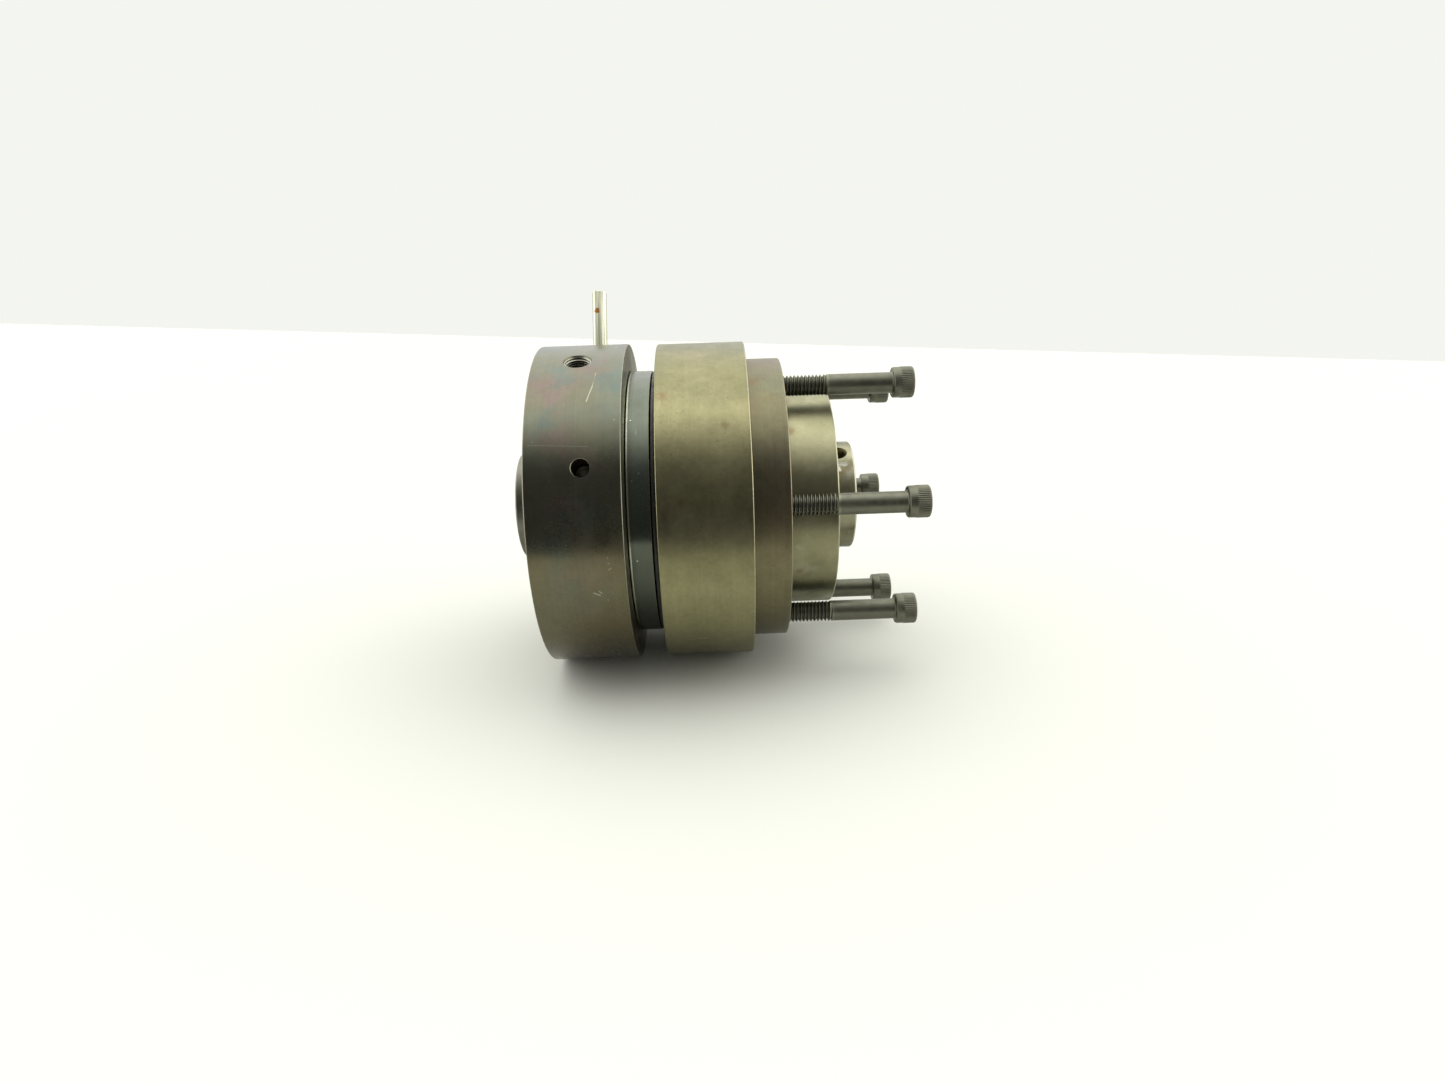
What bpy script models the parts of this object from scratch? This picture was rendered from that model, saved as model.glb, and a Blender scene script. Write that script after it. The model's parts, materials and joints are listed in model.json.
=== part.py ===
"""Flange-mounted, air-operated collet chuck for a lathe, as separate solids.

Metres, +Z up. The chuck's axis is X, with the nose at -X and the spindle side at +X. The origin
is the centre of the back plate's rear face, which bolts against the spindle's adapter. Angles
round the axis start at -Y and rise towards +Z.
"""

import math

import bmesh
import bpy
from mathutils import Matrix, Vector

MM = 0.001
GAP = 0.3 * MM  # between pieces that touch
AXIS = (0.0, math.pi / 2, 0.0)  # takes local Z to +X


def spaced(count, start_degrees):
    """Angles evenly spaced round the axis."""
    return [math.radians(start_degrees) + math.tau * turn / count for turn in range(count)]


# Places along the axis.
NOSE_FRONT = -105.8 * MM
COLLET_FRONT = -105.3 * MM
COLLET_REAR = -22.0 * MM
RING_FRONT = -94.0 * MM
SLEEVE_FRONT = -93.7 * MM
RING_REAR = -59.55 * MM
COLLAR_FRONT = -59.1 * MM
WIPER_FRONT = -50.45 * MM
BODY_FRONT = -48.15 * MM
BODY_REAR = -13.91 * MM
PLATE_FRONT = -13.61 * MM
PLATE_REAR = 0.0
PILOT_REAR = 18.7 * MM
TUBE_REAR = 28.65 * MM

# Radii.
NOSE_RADIUS = 21.4 * MM
RING_RADIUS = 64.0 * MM
COLLAR_RADIUS = 53.15 * MM
WIPER_RADIUS = 53.0 * MM
WIPER_BORE = 44.3 * MM
BODY_RADIUS = 63.5 * MM
PLATE_RADIUS = 56.6 * MM
PILOT_RADIUS = 43.75 * MM
SLEEVE_RADIUS = 32.2 * MM
TUBE_RADIUS = 21.9 * MM
TUBE_NECK_RADIUS = 19.4 * MM
BAR_RADIUS = 12.7 * MM
COLLET_SPACE = 16.2 * MM  # the bore round the collet's shank
COLLET_TAPER = math.radians(10)

# Air cylinder inside the body. The piston moves towards +X to close the collet.
CYLINDER_RADIUS = 44.0 * MM
CYLINDER_FRONT = -40.5 * MM
PISTON_FRONT = -39.5 * MM
PISTON_REAR = -27.5 * MM
SPRING_CIRCLE = 36.0 * MM
SPRING_POCKET_END = -12.2 * MM

# Thin-section ball bearings, 65 x 85 x 10.
BEARING_CENTRES = {"front": -86.9 * MM, "rear": -66.7 * MM}
BEARING_WIDTH = 10.0 * MM
BEARING_BORE = 32.5 * MM
BEARING_OUTSIDE = 42.5 * MM
SPACER_FRONT = -81.6 * MM
SPACER_REAR = -72.0 * MM
BALL_CIRCLE = 37.5 * MM
BALL_RADIUS = 2.6 * MM
BALL_COUNT = 10
GROOVE_RADIUS = 3.2 * MM
LAND_STEP = 1.8 * MM  # from the ball circle to each race's land

# 5/16-18 x 2 in mounting screws on a 4 in bolt circle.
SCREW_CIRCLE = 50.8 * MM
SCREW_ANGLES = spaced(6, 12.2)
SCREW_RADIUS = 3.97 * MM
SCREW_TIP = -8.8 * MM
SCREW_HEAD_START = 42.0 * MM
SCREW_HEAD_RADIUS = 5.95 * MM
SCREW_HEAD_HEIGHT = 7.94 * MM
SCREW_HOLE_RADIUS = 4.3 * MM
SCREW_HOLE_END = -23.0 * MM
HEX_RADIUS = 3.67 * MM  # to the corners of the 1/4 in socket
HEX_DEPTH = 3.9 * MM

# The fasteners, pins and springs inside.
BODY_SCREW_ANGLES = spaced(3, 42.2)
BODY_SCREW_HOLE = 2.8 * MM
BODY_SCREW_RECESS = 4.4 * MM
DOWEL_ANGLES = spaced(2, 27.2)
DOWEL_LENGTH = 14.0 * MM
DOWEL_RADIUS = 3.0 * MM
DOWEL_HOLE = 3.5 * MM
PILOT_SCREW_CIRCLE = 36.5 * MM
PILOT_SCREW_ANGLES = spaced(3, 12.2)
PILOT_SCREW_RECESS = 3.9 * MM
COLLAR_SCREW_CIRCLE = 40.0 * MM
COLLAR_SCREW_ANGLES = spaced(3, 12.2)
COLLAR_SCREW_RECESS = 3.6 * MM
SMALL_SCREW_HOLE = 2.5 * MM
COVER_SCREW_CIRCLE = 47.0 * MM
COVER_SCREW_ANGLES = spaced(4, 45.0)
COVER_SCREW_HOLE = 1.8 * MM
COVER_SCREW_RECESS = 2.6 * MM
SPRING_ANGLES = spaced(3, 102.2)
SPRING_POCKET_RADIUS = 4.9 * MM
SPRING_RADIUS = 3.4 * MM
SPRING_WIRE = 0.6 * MM  # radius
SPRING_TURNS = 3
SPRING_STEPS = 7  # path points in each turn

# Holes round the air ring, and the way the air takes from its port to the cylinder.
PORT_X = -76.9 * MM
PORT_ANGLE = math.radians(72.2)
PORT_RADIUS = 4.6 * MM
PORT_MOUTH_RADIUS = 5.45 * MM
PORT_DEPTH = 11.0 * MM
GALLERY_RADIUS = 45.0 * MM
PASSAGE_RADIUS = 1.5 * MM
AIR_HOLE_CIRCLE = 27.0 * MM
AIR_HOLE_END = -39.0 * MM
ROD_X = -73.8 * MM
ROD_ANGLE = math.radians(117.2)
ROD_RADIUS = 3.0 * MM
ROD_HOLE_RADIUS = 3.3 * MM
ROD_HOLE_ANGLES = spaced(4, 117.2)
ROD_HOLE_DEPTH = 12.0 * MM
ROD_TIP = 92.0 * MM

# Hole for a spanner pin in the draw tube's rear end.
SPANNER_X = 23.0 * MM
SPANNER_ANGLE = math.radians(66.0)
SPANNER_RADIUS = 2.2 * MM

OUTER_SIDES = 32
INNER_SIDES = 24
SMALL_SIDES = 12
TINY_SIDES = 8

parts = bpy.data.collections.new("collet_chuck")
cutters = bpy.data.collections.new("cutters")


def clear_scene():
    for item in list(bpy.data.objects):
        bpy.data.objects.remove(item, do_unlink=True)
    bpy.context.scene.collection.children.link(parts)
    bpy.context.scene.collection.children.link(cutters)


def radial(angle, radius=1.0, x=0.0):
    """A point at a radius and an angle round the chuck's axis."""
    return Vector((x, -math.cos(angle) * radius, math.sin(angle) * radius))


def along(direction):
    """The rotation that takes local Z to a direction."""
    return Vector(direction).to_track_quat("Z", "Y").to_euler()


def material(name, colour, roughness, metallic=1.0):
    made = bpy.data.materials.new(name)
    made.use_nodes = True
    shader = made.node_tree.nodes["Principled BSDF"]
    shader.inputs["Base Color"].default_value = (*colour, 1.0)
    shader.inputs["Roughness"].default_value = roughness
    shader.inputs["Metallic"].default_value = metallic
    made.diffuse_color = (*colour, 1.0)
    return made


FINISHES = {
    "blued_steel": ((0.10, 0.11, 0.12), 0.34, 1.0),
    "patina_steel": ((0.24, 0.22, 0.16), 0.36, 1.0),
    "brown_steel": ((0.19, 0.15, 0.12), 0.42, 1.0),
    "bright_steel": ((0.55, 0.52, 0.42), 0.28, 1.0),
    "black_oxide": ((0.06, 0.06, 0.055), 0.42, 1.0),
    "bearing_steel": ((0.62, 0.62, 0.60), 0.2, 1.0),
    "bronze": ((0.55, 0.38, 0.18), 0.35, 1.0),
    "rubber": ((0.015, 0.015, 0.015), 0.6, 0.0),
}


def finish(item, look):
    """Gives a piece its own material and its place in the parts collection."""
    item.data.materials.append(material(item.name + "_" + look, *FINISHES[look]))
    parts.objects.link(item)
    return item


def smooth(item):
    item.data.shade_smooth()
    item.data.set_sharp_from_angle(angle=math.radians(30))


def turned(name, outline, sides, look):
    """A piece turned about its local Z axis from a closed outline of (place, radius) points."""
    area = sum(a[0] * b[1] - b[0] * a[1] for a, b in zip(outline, outline[1:] + outline[:1]))
    if area < 0:
        outline = outline[::-1]
    mesh = bpy.data.meshes.new(name)
    shape = bmesh.new()
    points = [shape.verts.new((radius, 0.0, place)) for place, radius in outline]
    for start, end in zip(points, points[1:] + points[:1]):
        if start.co.x > 0 or end.co.x > 0:
            shape.edges.new((start, end))
    shape.to_mesh(mesh)
    shape.free()
    item = bpy.data.objects.new(name, mesh)
    screw = item.modifiers.new("turn", "SCREW")
    screw.axis = "Z"
    screw.angle = math.tau
    screw.steps = sides
    screw.render_steps = sides
    screw.use_merge_vertices = True
    screw.merge_threshold = 0.00001
    return finish(item, look)


def chuck_piece(name, outline, look, sides=OUTER_SIDES, parent=None):
    """A turned piece on the chuck's axis, whose outline is in (x, radius) points."""
    item = turned(name, outline, sides, look)
    item.rotation_euler = AXIS
    item.parent = parent
    return item


def bush(front, rear, bore, outside):
    """The outline of a plain ring."""
    return [(front, bore), (front, outside), (rear, outside), (rear, bore)]


def add_cone(shape, start, end, radius, sides, end_radius=None):
    """Adds a round solid from one point to another, which tapers to end_radius if given."""
    turn = Matrix.Translation((start + end) / 2) @ along(end - start).to_matrix().to_4x4()
    bmesh.ops.create_cone(shape, cap_ends=True, segments=sides, radius1=radius,
                          radius2=radius if end_radius is None else end_radius,
                          depth=(end - start).length, matrix=turn)


def tool(name, shape):
    """A hidden object for cutting or joining, made from a bmesh."""
    mesh = bpy.data.meshes.new(name)
    shape.to_mesh(mesh)
    shape.free()
    item = bpy.data.objects.new(name, mesh)
    item.hide_render = True
    item.display_type = "WIRE"
    cutters.objects.link(item)
    return item


def combine(target, item, operation="DIFFERENCE"):
    step = target.modifiers.new(item.name, "BOOLEAN")
    step.operation = operation
    step.solver = "EXACT"
    step.object = item


def drill(target, name, spans, radius, sides=SMALL_SIDES, end_radius=None):
    """Cuts a hole along each (start, end) span."""
    shape = bmesh.new()
    for start, end in spans:
        add_cone(shape, start, end, radius, sides, end_radius)
    combine(target, tool(name, shape))


def lengthwise(angles, circle, front, rear):
    """Spans along the axis at a bolt circle."""
    return [(radial(angle, circle, front), radial(angle, circle, rear)) for angle in angles]


def crosswise(angles, x, inner, outer):
    """Spans out from the axis."""
    return [(radial(angle, inner, x), radial(angle, outer, x)) for angle in angles]


def axis_empty(name):
    empty = bpy.data.objects.new(name, None)
    empty.empty_display_size = 0.02
    parts.objects.link(empty)
    return empty


def screw_outline(shank_length, shank, head, head_height, chamfer=0.0):
    """A cap screw's outline from its tip, at 0, to the top of its head."""
    top = shank_length + head_height
    tip = [(0.0, shank - chamfer), (chamfer, shank)] if chamfer else [(0.0, shank)]
    crown = [(top - chamfer, head), (top, head - chamfer)] if chamfer else [(top, head)]
    return [(0.0, 0.0), *tip, (shank_length, shank), (shank_length, head), *crown, (top, 0.0)]


def small_screws(name, angles, circle, tip, seat, top, shank, head, parent=None):
    """Identical small screws along the axis, with their heads at the end called top."""
    outline = screw_outline(abs(seat - tip), shank, head, abs(top - seat))
    for number, angle in enumerate(angles, 1):
        item = turned(f"{name}_{number}", outline, TINY_SIDES, "black_oxide")
        item.location = radial(angle, circle, tip)
        item.rotation_euler = along((top - tip, 0.0, 0.0))
        item.parent = parent


# The body that bolts to the spindle.

def make_chuck_body():
    """The cylinder body, with the sleeve that carries the bearings and the nose."""
    edge = 0.6 * MM
    bore = TUBE_NECK_RADIUS + GAP
    nose_bore = NOSE_RADIUS + GAP
    nose_floor = -61.7 * MM
    groove_radius = 30.5 * MM  # for the bearings' snap ring
    groove_front, groove_rear = -93.3 * MM, -92.0 * MM
    seal_radius = 22.3 * MM
    seal_front, seal_rear = -46.2 * MM, -43.4 * MM
    outline = [
        (BODY_REAR, CYLINDER_RADIUS), (BODY_REAR, BODY_RADIUS - edge),
        (BODY_REAR - edge, BODY_RADIUS), (BODY_FRONT + edge, BODY_RADIUS),
        (BODY_FRONT, BODY_RADIUS - edge), (BODY_FRONT, SLEEVE_RADIUS),
        (groove_rear, SLEEVE_RADIUS), (groove_rear, groove_radius),
        (groove_front, groove_radius), (groove_front, SLEEVE_RADIUS - GAP),
        (SLEEVE_FRONT, SLEEVE_RADIUS - edge), (SLEEVE_FRONT, nose_bore),
        (nose_floor, nose_bore), (nose_floor, bore), (seal_front, bore),
        (seal_front, seal_radius), (seal_rear, seal_radius), (seal_rear, bore),
        (CYLINDER_FRONT, bore), (CYLINDER_FRONT, CYLINDER_RADIUS),
    ]
    body = chuck_piece("chuck_body", outline, "patina_steel")
    mouth = BODY_REAR + 4 * MM
    drill(body, "body_mounting_holes",
          lengthwise(SCREW_ANGLES, SCREW_CIRCLE, SCREW_HOLE_END, mouth), SCREW_HOLE_RADIUS)
    drill(body, "body_screw_holes",
          lengthwise(BODY_SCREW_ANGLES, SCREW_CIRCLE, -26 * MM, mouth), BODY_SCREW_HOLE, TINY_SIDES)
    drill(body, "body_dowel_holes",
          lengthwise(DOWEL_ANGLES, SCREW_CIRCLE, -21 * MM, mouth), DOWEL_HOLE, TINY_SIDES)
    drill(body, "body_collar_holes",
          lengthwise(COLLAR_SCREW_ANGLES, COLLAR_SCREW_CIRCLE, BODY_FRONT - 2 * MM, -41.6 * MM),
          SMALL_SCREW_HOLE, TINY_SIDES)
    drill(body, "air_hole_in",
          crosswise([PORT_ANGLE], PORT_X, AIR_HOLE_CIRCLE, SLEEVE_RADIUS + 2 * MM),
          PASSAGE_RADIUS, TINY_SIDES)
    drill(body, "air_hole_along",
          lengthwise([PORT_ANGLE], AIR_HOLE_CIRCLE, PORT_X - PASSAGE_RADIUS, AIR_HOLE_END),
          PASSAGE_RADIUS, TINY_SIDES)


def make_back_plate():
    """The plate that closes the cylinder and takes the mounting screws."""
    edge = 0.6 * MM
    bore = 30.3 * MM
    boss = CYLINDER_RADIUS - GAP
    boss_front = -17.2 * MM
    recess = PILOT_RADIUS + GAP  # the pilot sits in a shallow recess
    groove_radius = 42.0 * MM  # for the body seal
    groove_front, groove_rear = -16.6 * MM, -14.7 * MM
    outline = [
        (PLATE_REAR - GAP, bore), (PLATE_REAR - GAP, recess), (PLATE_REAR, recess),
        (PLATE_REAR, PLATE_RADIUS - edge), (PLATE_REAR - edge, PLATE_RADIUS),
        (PLATE_FRONT, PLATE_RADIUS), (PLATE_FRONT, boss), (groove_rear, boss),
        (groove_rear, groove_radius), (groove_front, groove_radius), (groove_front, boss),
        (boss_front, boss), (boss_front, bore),
    ]
    plate = chuck_piece("back_plate", outline, "brown_steel")
    ahead, behind = boss_front - 3 * MM, PLATE_REAR + 5 * MM
    drill(plate, "plate_mounting_holes",
          lengthwise(SCREW_ANGLES, SCREW_CIRCLE, ahead, behind), SCREW_HOLE_RADIUS)
    drill(plate, "plate_counterbores",
          lengthwise(BODY_SCREW_ANGLES, SCREW_CIRCLE, -5.4 * MM, behind), BODY_SCREW_RECESS)
    drill(plate, "plate_screw_holes",
          lengthwise(BODY_SCREW_ANGLES, SCREW_CIRCLE, ahead, behind), BODY_SCREW_HOLE, TINY_SIDES)
    drill(plate, "plate_dowel_holes",
          lengthwise(DOWEL_ANGLES, SCREW_CIRCLE, ahead, -6 * MM), DOWEL_HOLE, TINY_SIDES)
    drill(plate, "plate_pilot_holes",
          lengthwise(PILOT_SCREW_ANGLES, PILOT_SCREW_CIRCLE, -8 * MM, behind),
          SMALL_SCREW_HOLE, TINY_SIDES)
    drill(plate, "spring_pockets",
          lengthwise(SPRING_ANGLES, SPRING_CIRCLE, ahead, SPRING_POCKET_END), SPRING_POCKET_RADIUS)


def make_pilot():
    """The register that centres the chuck in the spindle's adapter."""
    edge = 0.9 * MM
    bore = TUBE_RADIUS + GAP
    neck = 30.0 * MM
    neck_front = -16.9 * MM
    groove_radius = 24.3 * MM  # for the pilot seal
    groove_front, groove_rear = 5.0 * MM, 7.6 * MM
    outline = [
        (PILOT_REAR, bore), (PILOT_REAR, PILOT_RADIUS - edge), (PILOT_REAR - edge, PILOT_RADIUS),
        (PLATE_REAR, PILOT_RADIUS), (PLATE_REAR, neck), (neck_front, neck), (neck_front, bore),
        (groove_front, bore), (groove_front, groove_radius), (groove_rear, groove_radius),
        (groove_rear, bore),
    ]
    pilot = chuck_piece("spindle_pilot", outline, "bright_steel")
    behind = PILOT_REAR + 2 * MM
    drill(pilot, "pilot_holes",
          lengthwise(PILOT_SCREW_ANGLES, PILOT_SCREW_CIRCLE, -2 * MM, behind),
          SMALL_SCREW_HOLE, TINY_SIDES)
    drill(pilot, "pilot_counterbores",
          lengthwise(PILOT_SCREW_ANGLES, PILOT_SCREW_CIRCLE, 13.6 * MM, behind), PILOT_SCREW_RECESS)


def make_collar():
    """The neck between the air ring and the body, which backs the rear inner race."""
    edge = 0.5 * MM
    front_boss, front_boss_start = 36.2 * MM, -61.4 * MM
    outline = [
        (front_boss_start, BEARING_BORE), (front_boss_start, front_boss),
        (COLLAR_FRONT, front_boss), (COLLAR_FRONT, COLLAR_RADIUS - edge),
        (COLLAR_FRONT + edge, COLLAR_RADIUS), (WIPER_FRONT - GAP / 2, COLLAR_RADIUS),
        (WIPER_FRONT - GAP / 2, WIPER_BORE - GAP), (BODY_FRONT - GAP, WIPER_BORE - GAP),
        (BODY_FRONT - GAP, BEARING_BORE),
    ]
    collar = chuck_piece("neck_collar", outline, "blued_steel")
    ahead, behind = COLLAR_FRONT - MM, BODY_FRONT + 3 * MM
    drill(collar, "collar_holes",
          lengthwise(COLLAR_SCREW_ANGLES, COLLAR_SCREW_CIRCLE, ahead, behind),
          SMALL_SCREW_HOLE, TINY_SIDES)
    drill(collar, "collar_counterbores",
          lengthwise(COLLAR_SCREW_ANGLES, COLLAR_SCREW_CIRCLE, ahead, -54.4 * MM),
          COLLAR_SCREW_RECESS)


def make_seals():
    chuck_piece("wiper_seal", bush(WIPER_FRONT + GAP / 2, BODY_FRONT - GAP, WIPER_BORE,
                                   WIPER_RADIUS), "rubber")
    chuck_piece("body_seal", bush(-16.3 * MM, -15.0 * MM, 42.3 * MM, 43.7 * MM), "rubber")
    chuck_piece("pilot_seal", bush(5.3 * MM, 7.3 * MM, 22.15 * MM, 24.0 * MM),
                "rubber", INNER_SIDES)
    chuck_piece("draw_tube_seal", bush(-45.9 * MM, -43.7 * MM, 19.65 * MM, 22.0 * MM),
                "rubber", INNER_SIDES)


def make_nose():
    """The nose piece, whose bore tapers at 10 degrees where the collet's head closes."""
    edge = 0.8 * MM
    rear = -62.0 * MM
    mouth = 19.35 * MM
    taper_start = -101.0 * MM
    taper_end = taper_start + (mouth - COLLET_SPACE) / math.tan(COLLET_TAPER)
    outline = [
        (NOSE_FRONT, mouth), (NOSE_FRONT, NOSE_RADIUS - edge), (NOSE_FRONT + edge, NOSE_RADIUS),
        (rear, NOSE_RADIUS), (rear, COLLET_SPACE), (taper_end, COLLET_SPACE), (taper_start, mouth),
    ]
    chuck_piece("nose_piece", outline, "blued_steel", INNER_SIDES)


def make_springs():
    """Return springs, from the piston to their pockets in the back plate."""
    front = PISTON_REAR + GAP + SPRING_WIRE
    rear = SPRING_POCKET_END - GAP - SPRING_WIRE
    steps = SPRING_TURNS * SPRING_STEPS
    for number, angle in enumerate(SPRING_ANGLES, 1):
        curve = bpy.data.curves.new(f"return_spring_{number}", "CURVE")
        curve.dimensions = "3D"
        curve.bevel_depth = SPRING_WIRE
        curve.bevel_resolution = 1
        curve.use_fill_caps = True
        path = curve.splines.new("POLY")
        path.points.add(steps)
        for index, point in enumerate(path.points):
            turn = math.tau * index / SPRING_STEPS
            x = front + (rear - front) * index / steps
            point.co = (x, SPRING_RADIUS * math.cos(turn), SPRING_RADIUS * math.sin(turn), 1.0)
        item = bpy.data.objects.new(curve.name, curve)
        item.location = radial(angle, SPRING_CIRCLE)
        finish(item, "bearing_steel")


def make_fasteners():
    small_screws("body_screw", BODY_SCREW_ANGLES, SCREW_CIRCLE, -24.5 * MM, -5.1 * MM,
                 -0.3 * MM, 2.42 * MM, 3.96 * MM)
    small_screws("pilot_screw", PILOT_SCREW_ANGLES, PILOT_SCREW_CIRCLE, -7.6 * MM, 13.9 * MM,
                 18.1 * MM, 2.1 * MM, 3.45 * MM)
    small_screws("collar_screw", COLLAR_SCREW_ANGLES, COLLAR_SCREW_CIRCLE, -42 * MM,
                 -54.7 * MM, -58.8 * MM, 2.1 * MM, 3.2 * MM)
    pin = [(0.0, 0.0), (0.0, DOWEL_RADIUS), (DOWEL_LENGTH, DOWEL_RADIUS), (DOWEL_LENGTH, 0.0)]
    for number, angle in enumerate(DOWEL_ANGLES, 1):
        item = turned(f"dowel_pin_{number}", pin, TINY_SIDES, "bearing_steel")
        item.location = radial(angle, SCREW_CIRCLE, -20.5 * MM)
        item.rotation_euler = AXIS


# The air ring and its bearings.

def make_race(name, centre, inner, parent):
    """A bearing race whose groove is cut by an arc round the ball circle."""
    land = BALL_CIRCLE - LAND_STEP if inner else BALL_CIRCLE + LAND_STEP
    seat = BEARING_BORE if inner else BEARING_OUTSIDE
    side = -1.0 if inner else 1.0
    reach = math.acos(LAND_STEP / GROOVE_RADIUS)
    half = BEARING_WIDTH / 2
    groove = []
    for step in (-1.0, 0.0, 1.0):
        angle = reach * step
        groove.append((centre + GROOVE_RADIUS * math.sin(angle),
                       BALL_CIRCLE + side * GROOVE_RADIUS * math.cos(angle)))
    outline = [(centre - half, seat), (centre - half, land), *groove,
               (centre + half, land), (centre + half, seat)]
    chuck_piece(name, outline, "bearing_steel", INNER_SIDES, parent)


def make_cage(end, centre, parent):
    """A bearing's balls, held together by its cage."""
    half_width, half_thickness = 1.6 * MM, 0.9 * MM
    outline = bush(centre - half_width, centre + half_width, BALL_CIRCLE - half_thickness,
                   BALL_CIRCLE + half_thickness)
    cage = chuck_piece(f"{end}_balls_and_cage", outline, "bronze", 2 * BALL_COUNT, parent)
    shape = bmesh.new()
    for angle in spaced(BALL_COUNT, 0.0):
        place = Matrix.Translation(radial(angle, BALL_CIRCLE, centre))
        bmesh.ops.create_uvsphere(shape, u_segments=6, v_segments=4, radius=BALL_RADIUS,
                                  matrix=place)
    combine(cage, tool(f"{end}_balls", shape), "UNION")


def make_bearings(ring_axis):
    for end, centre in BEARING_CENTRES.items():
        make_race(f"{end}_inner_race", centre, True, None)
        make_race(f"{end}_outer_race", centre, False, ring_axis)
        make_cage(end, centre, axis_empty(f"{end}_cage_axis"))
    spacer = chuck_piece("bearing_spacer", bush(SPACER_FRONT, SPACER_REAR, BEARING_BORE,
                                                34.5 * MM), "bearing_steel", INNER_SIDES)
    drill(spacer, "spacer_hole", crosswise([PORT_ANGLE], PORT_X, 30 * MM, 36 * MM),
          PASSAGE_RADIUS, TINY_SIDES)
    chuck_piece("bearing_snap_ring", bush(-93.0 * MM, -92.3 * MM, 30.8 * MM, 35.2 * MM),
                "black_oxide", INNER_SIDES)


def make_air_ring(ring_axis):
    """The ring that stays still while the chuck turns, and brings the air in."""
    edge = 0.6 * MM
    seat = BEARING_OUTSIDE + GAP
    middle = 41.0 * MM  # the rib between the bearings, with the air gallery in it
    gallery_front, gallery_rear = -78.6 * MM, -75.2 * MM
    recess = 50.5 * MM  # for the front cover
    recess_floor = -91.9 * MM
    outline = [
        (RING_FRONT, recess), (RING_FRONT, RING_RADIUS - edge),
        (RING_FRONT + edge, RING_RADIUS), (RING_REAR - edge, RING_RADIUS),
        (RING_REAR, RING_RADIUS - edge), (RING_REAR, seat),
        (SPACER_REAR, seat), (SPACER_REAR, middle), (gallery_rear, middle),
        (gallery_rear, GALLERY_RADIUS), (gallery_front, GALLERY_RADIUS), (gallery_front, middle),
        (SPACER_FRONT, middle), (SPACER_FRONT, seat), (recess_floor, seat), (recess_floor, recess),
    ]
    ring = chuck_piece("air_ring", outline, "blued_steel", parent=ring_axis)
    beyond = RING_RADIUS + 6 * MM
    drill(ring, "port_bore",
          crosswise([PORT_ANGLE], PORT_X, RING_RADIUS - PORT_DEPTH, beyond), PORT_RADIUS)
    drill(ring, "port_passage",
          crosswise([PORT_ANGLE], PORT_X, GALLERY_RADIUS - 2 * MM, RING_RADIUS - 8 * MM),
          PASSAGE_RADIUS, TINY_SIDES)
    slope = PORT_MOUTH_RADIUS - PORT_RADIUS
    drill(ring, "port_mouth",
          crosswise([PORT_ANGLE], PORT_X, RING_RADIUS - slope, RING_RADIUS + slope),
          PORT_RADIUS, end_radius=PORT_MOUTH_RADIUS + slope)
    drill(ring, "rod_holes",
          crosswise(ROD_HOLE_ANGLES, ROD_X, RING_RADIUS - ROD_HOLE_DEPTH, beyond),
          ROD_HOLE_RADIUS)
    drill(ring, "cover_screw_holes",
          lengthwise(COVER_SCREW_ANGLES, COVER_SCREW_CIRCLE, -92.5 * MM, -85 * MM),
          COVER_SCREW_HOLE, TINY_SIDES)


def make_ring_covers(ring_axis):
    """The front cover with its screws, the rear retaining ring and the air seals."""
    front, rear = SLEEVE_FRONT, -92.2 * MM
    cover = chuck_piece("front_cover", bush(front, rear, 36.0 * MM, 50.2 * MM),
                        "blued_steel", INNER_SIDES, ring_axis)
    drill(cover, "cover_holes",
          lengthwise(COVER_SCREW_ANGLES, COVER_SCREW_CIRCLE, front - MM, rear + MM),
          COVER_SCREW_RECESS, TINY_SIDES)
    small_screws("cover_screw", COVER_SCREW_ANGLES, COVER_SCREW_CIRCLE, -85.6 * MM,
                 rear - GAP, front, 1.45 * MM, 2.2 * MM, ring_axis)
    chuck_piece("rear_retaining_ring", bush(-61.4 * MM, -60.0 * MM, 39.6 * MM,
                                             BEARING_OUTSIDE), "black_oxide", INNER_SIDES,
                ring_axis)
    for end, front in (("front", -81.3 * MM), ("rear", -74.9 * MM)):
        chuck_piece(f"{end}_air_seal", bush(front, front + 2.5 * MM, 35.0 * MM, 40.7 * MM),
                    "rubber", INNER_SIDES, ring_axis)


def make_rod():
    """The rod that keeps the air ring from turning; it slides out along its own axis."""
    edge = 0.7 * MM
    foot = RING_RADIUS - ROD_HOLE_DEPTH + GAP
    length = ROD_TIP - foot
    outline = [(0.0, 0.0), (0.0, ROD_RADIUS - edge), (edge, ROD_RADIUS),
               (length - edge, ROD_RADIUS), (length, ROD_RADIUS - edge), (length, 0.0)]
    rod = turned("anti_rotation_rod", outline, SMALL_SIDES, "bright_steel")
    rod.location = radial(ROD_ANGLE, foot, ROD_X)
    rod.rotation_euler = along(radial(ROD_ANGLE))


# What the air pulls back.

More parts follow.
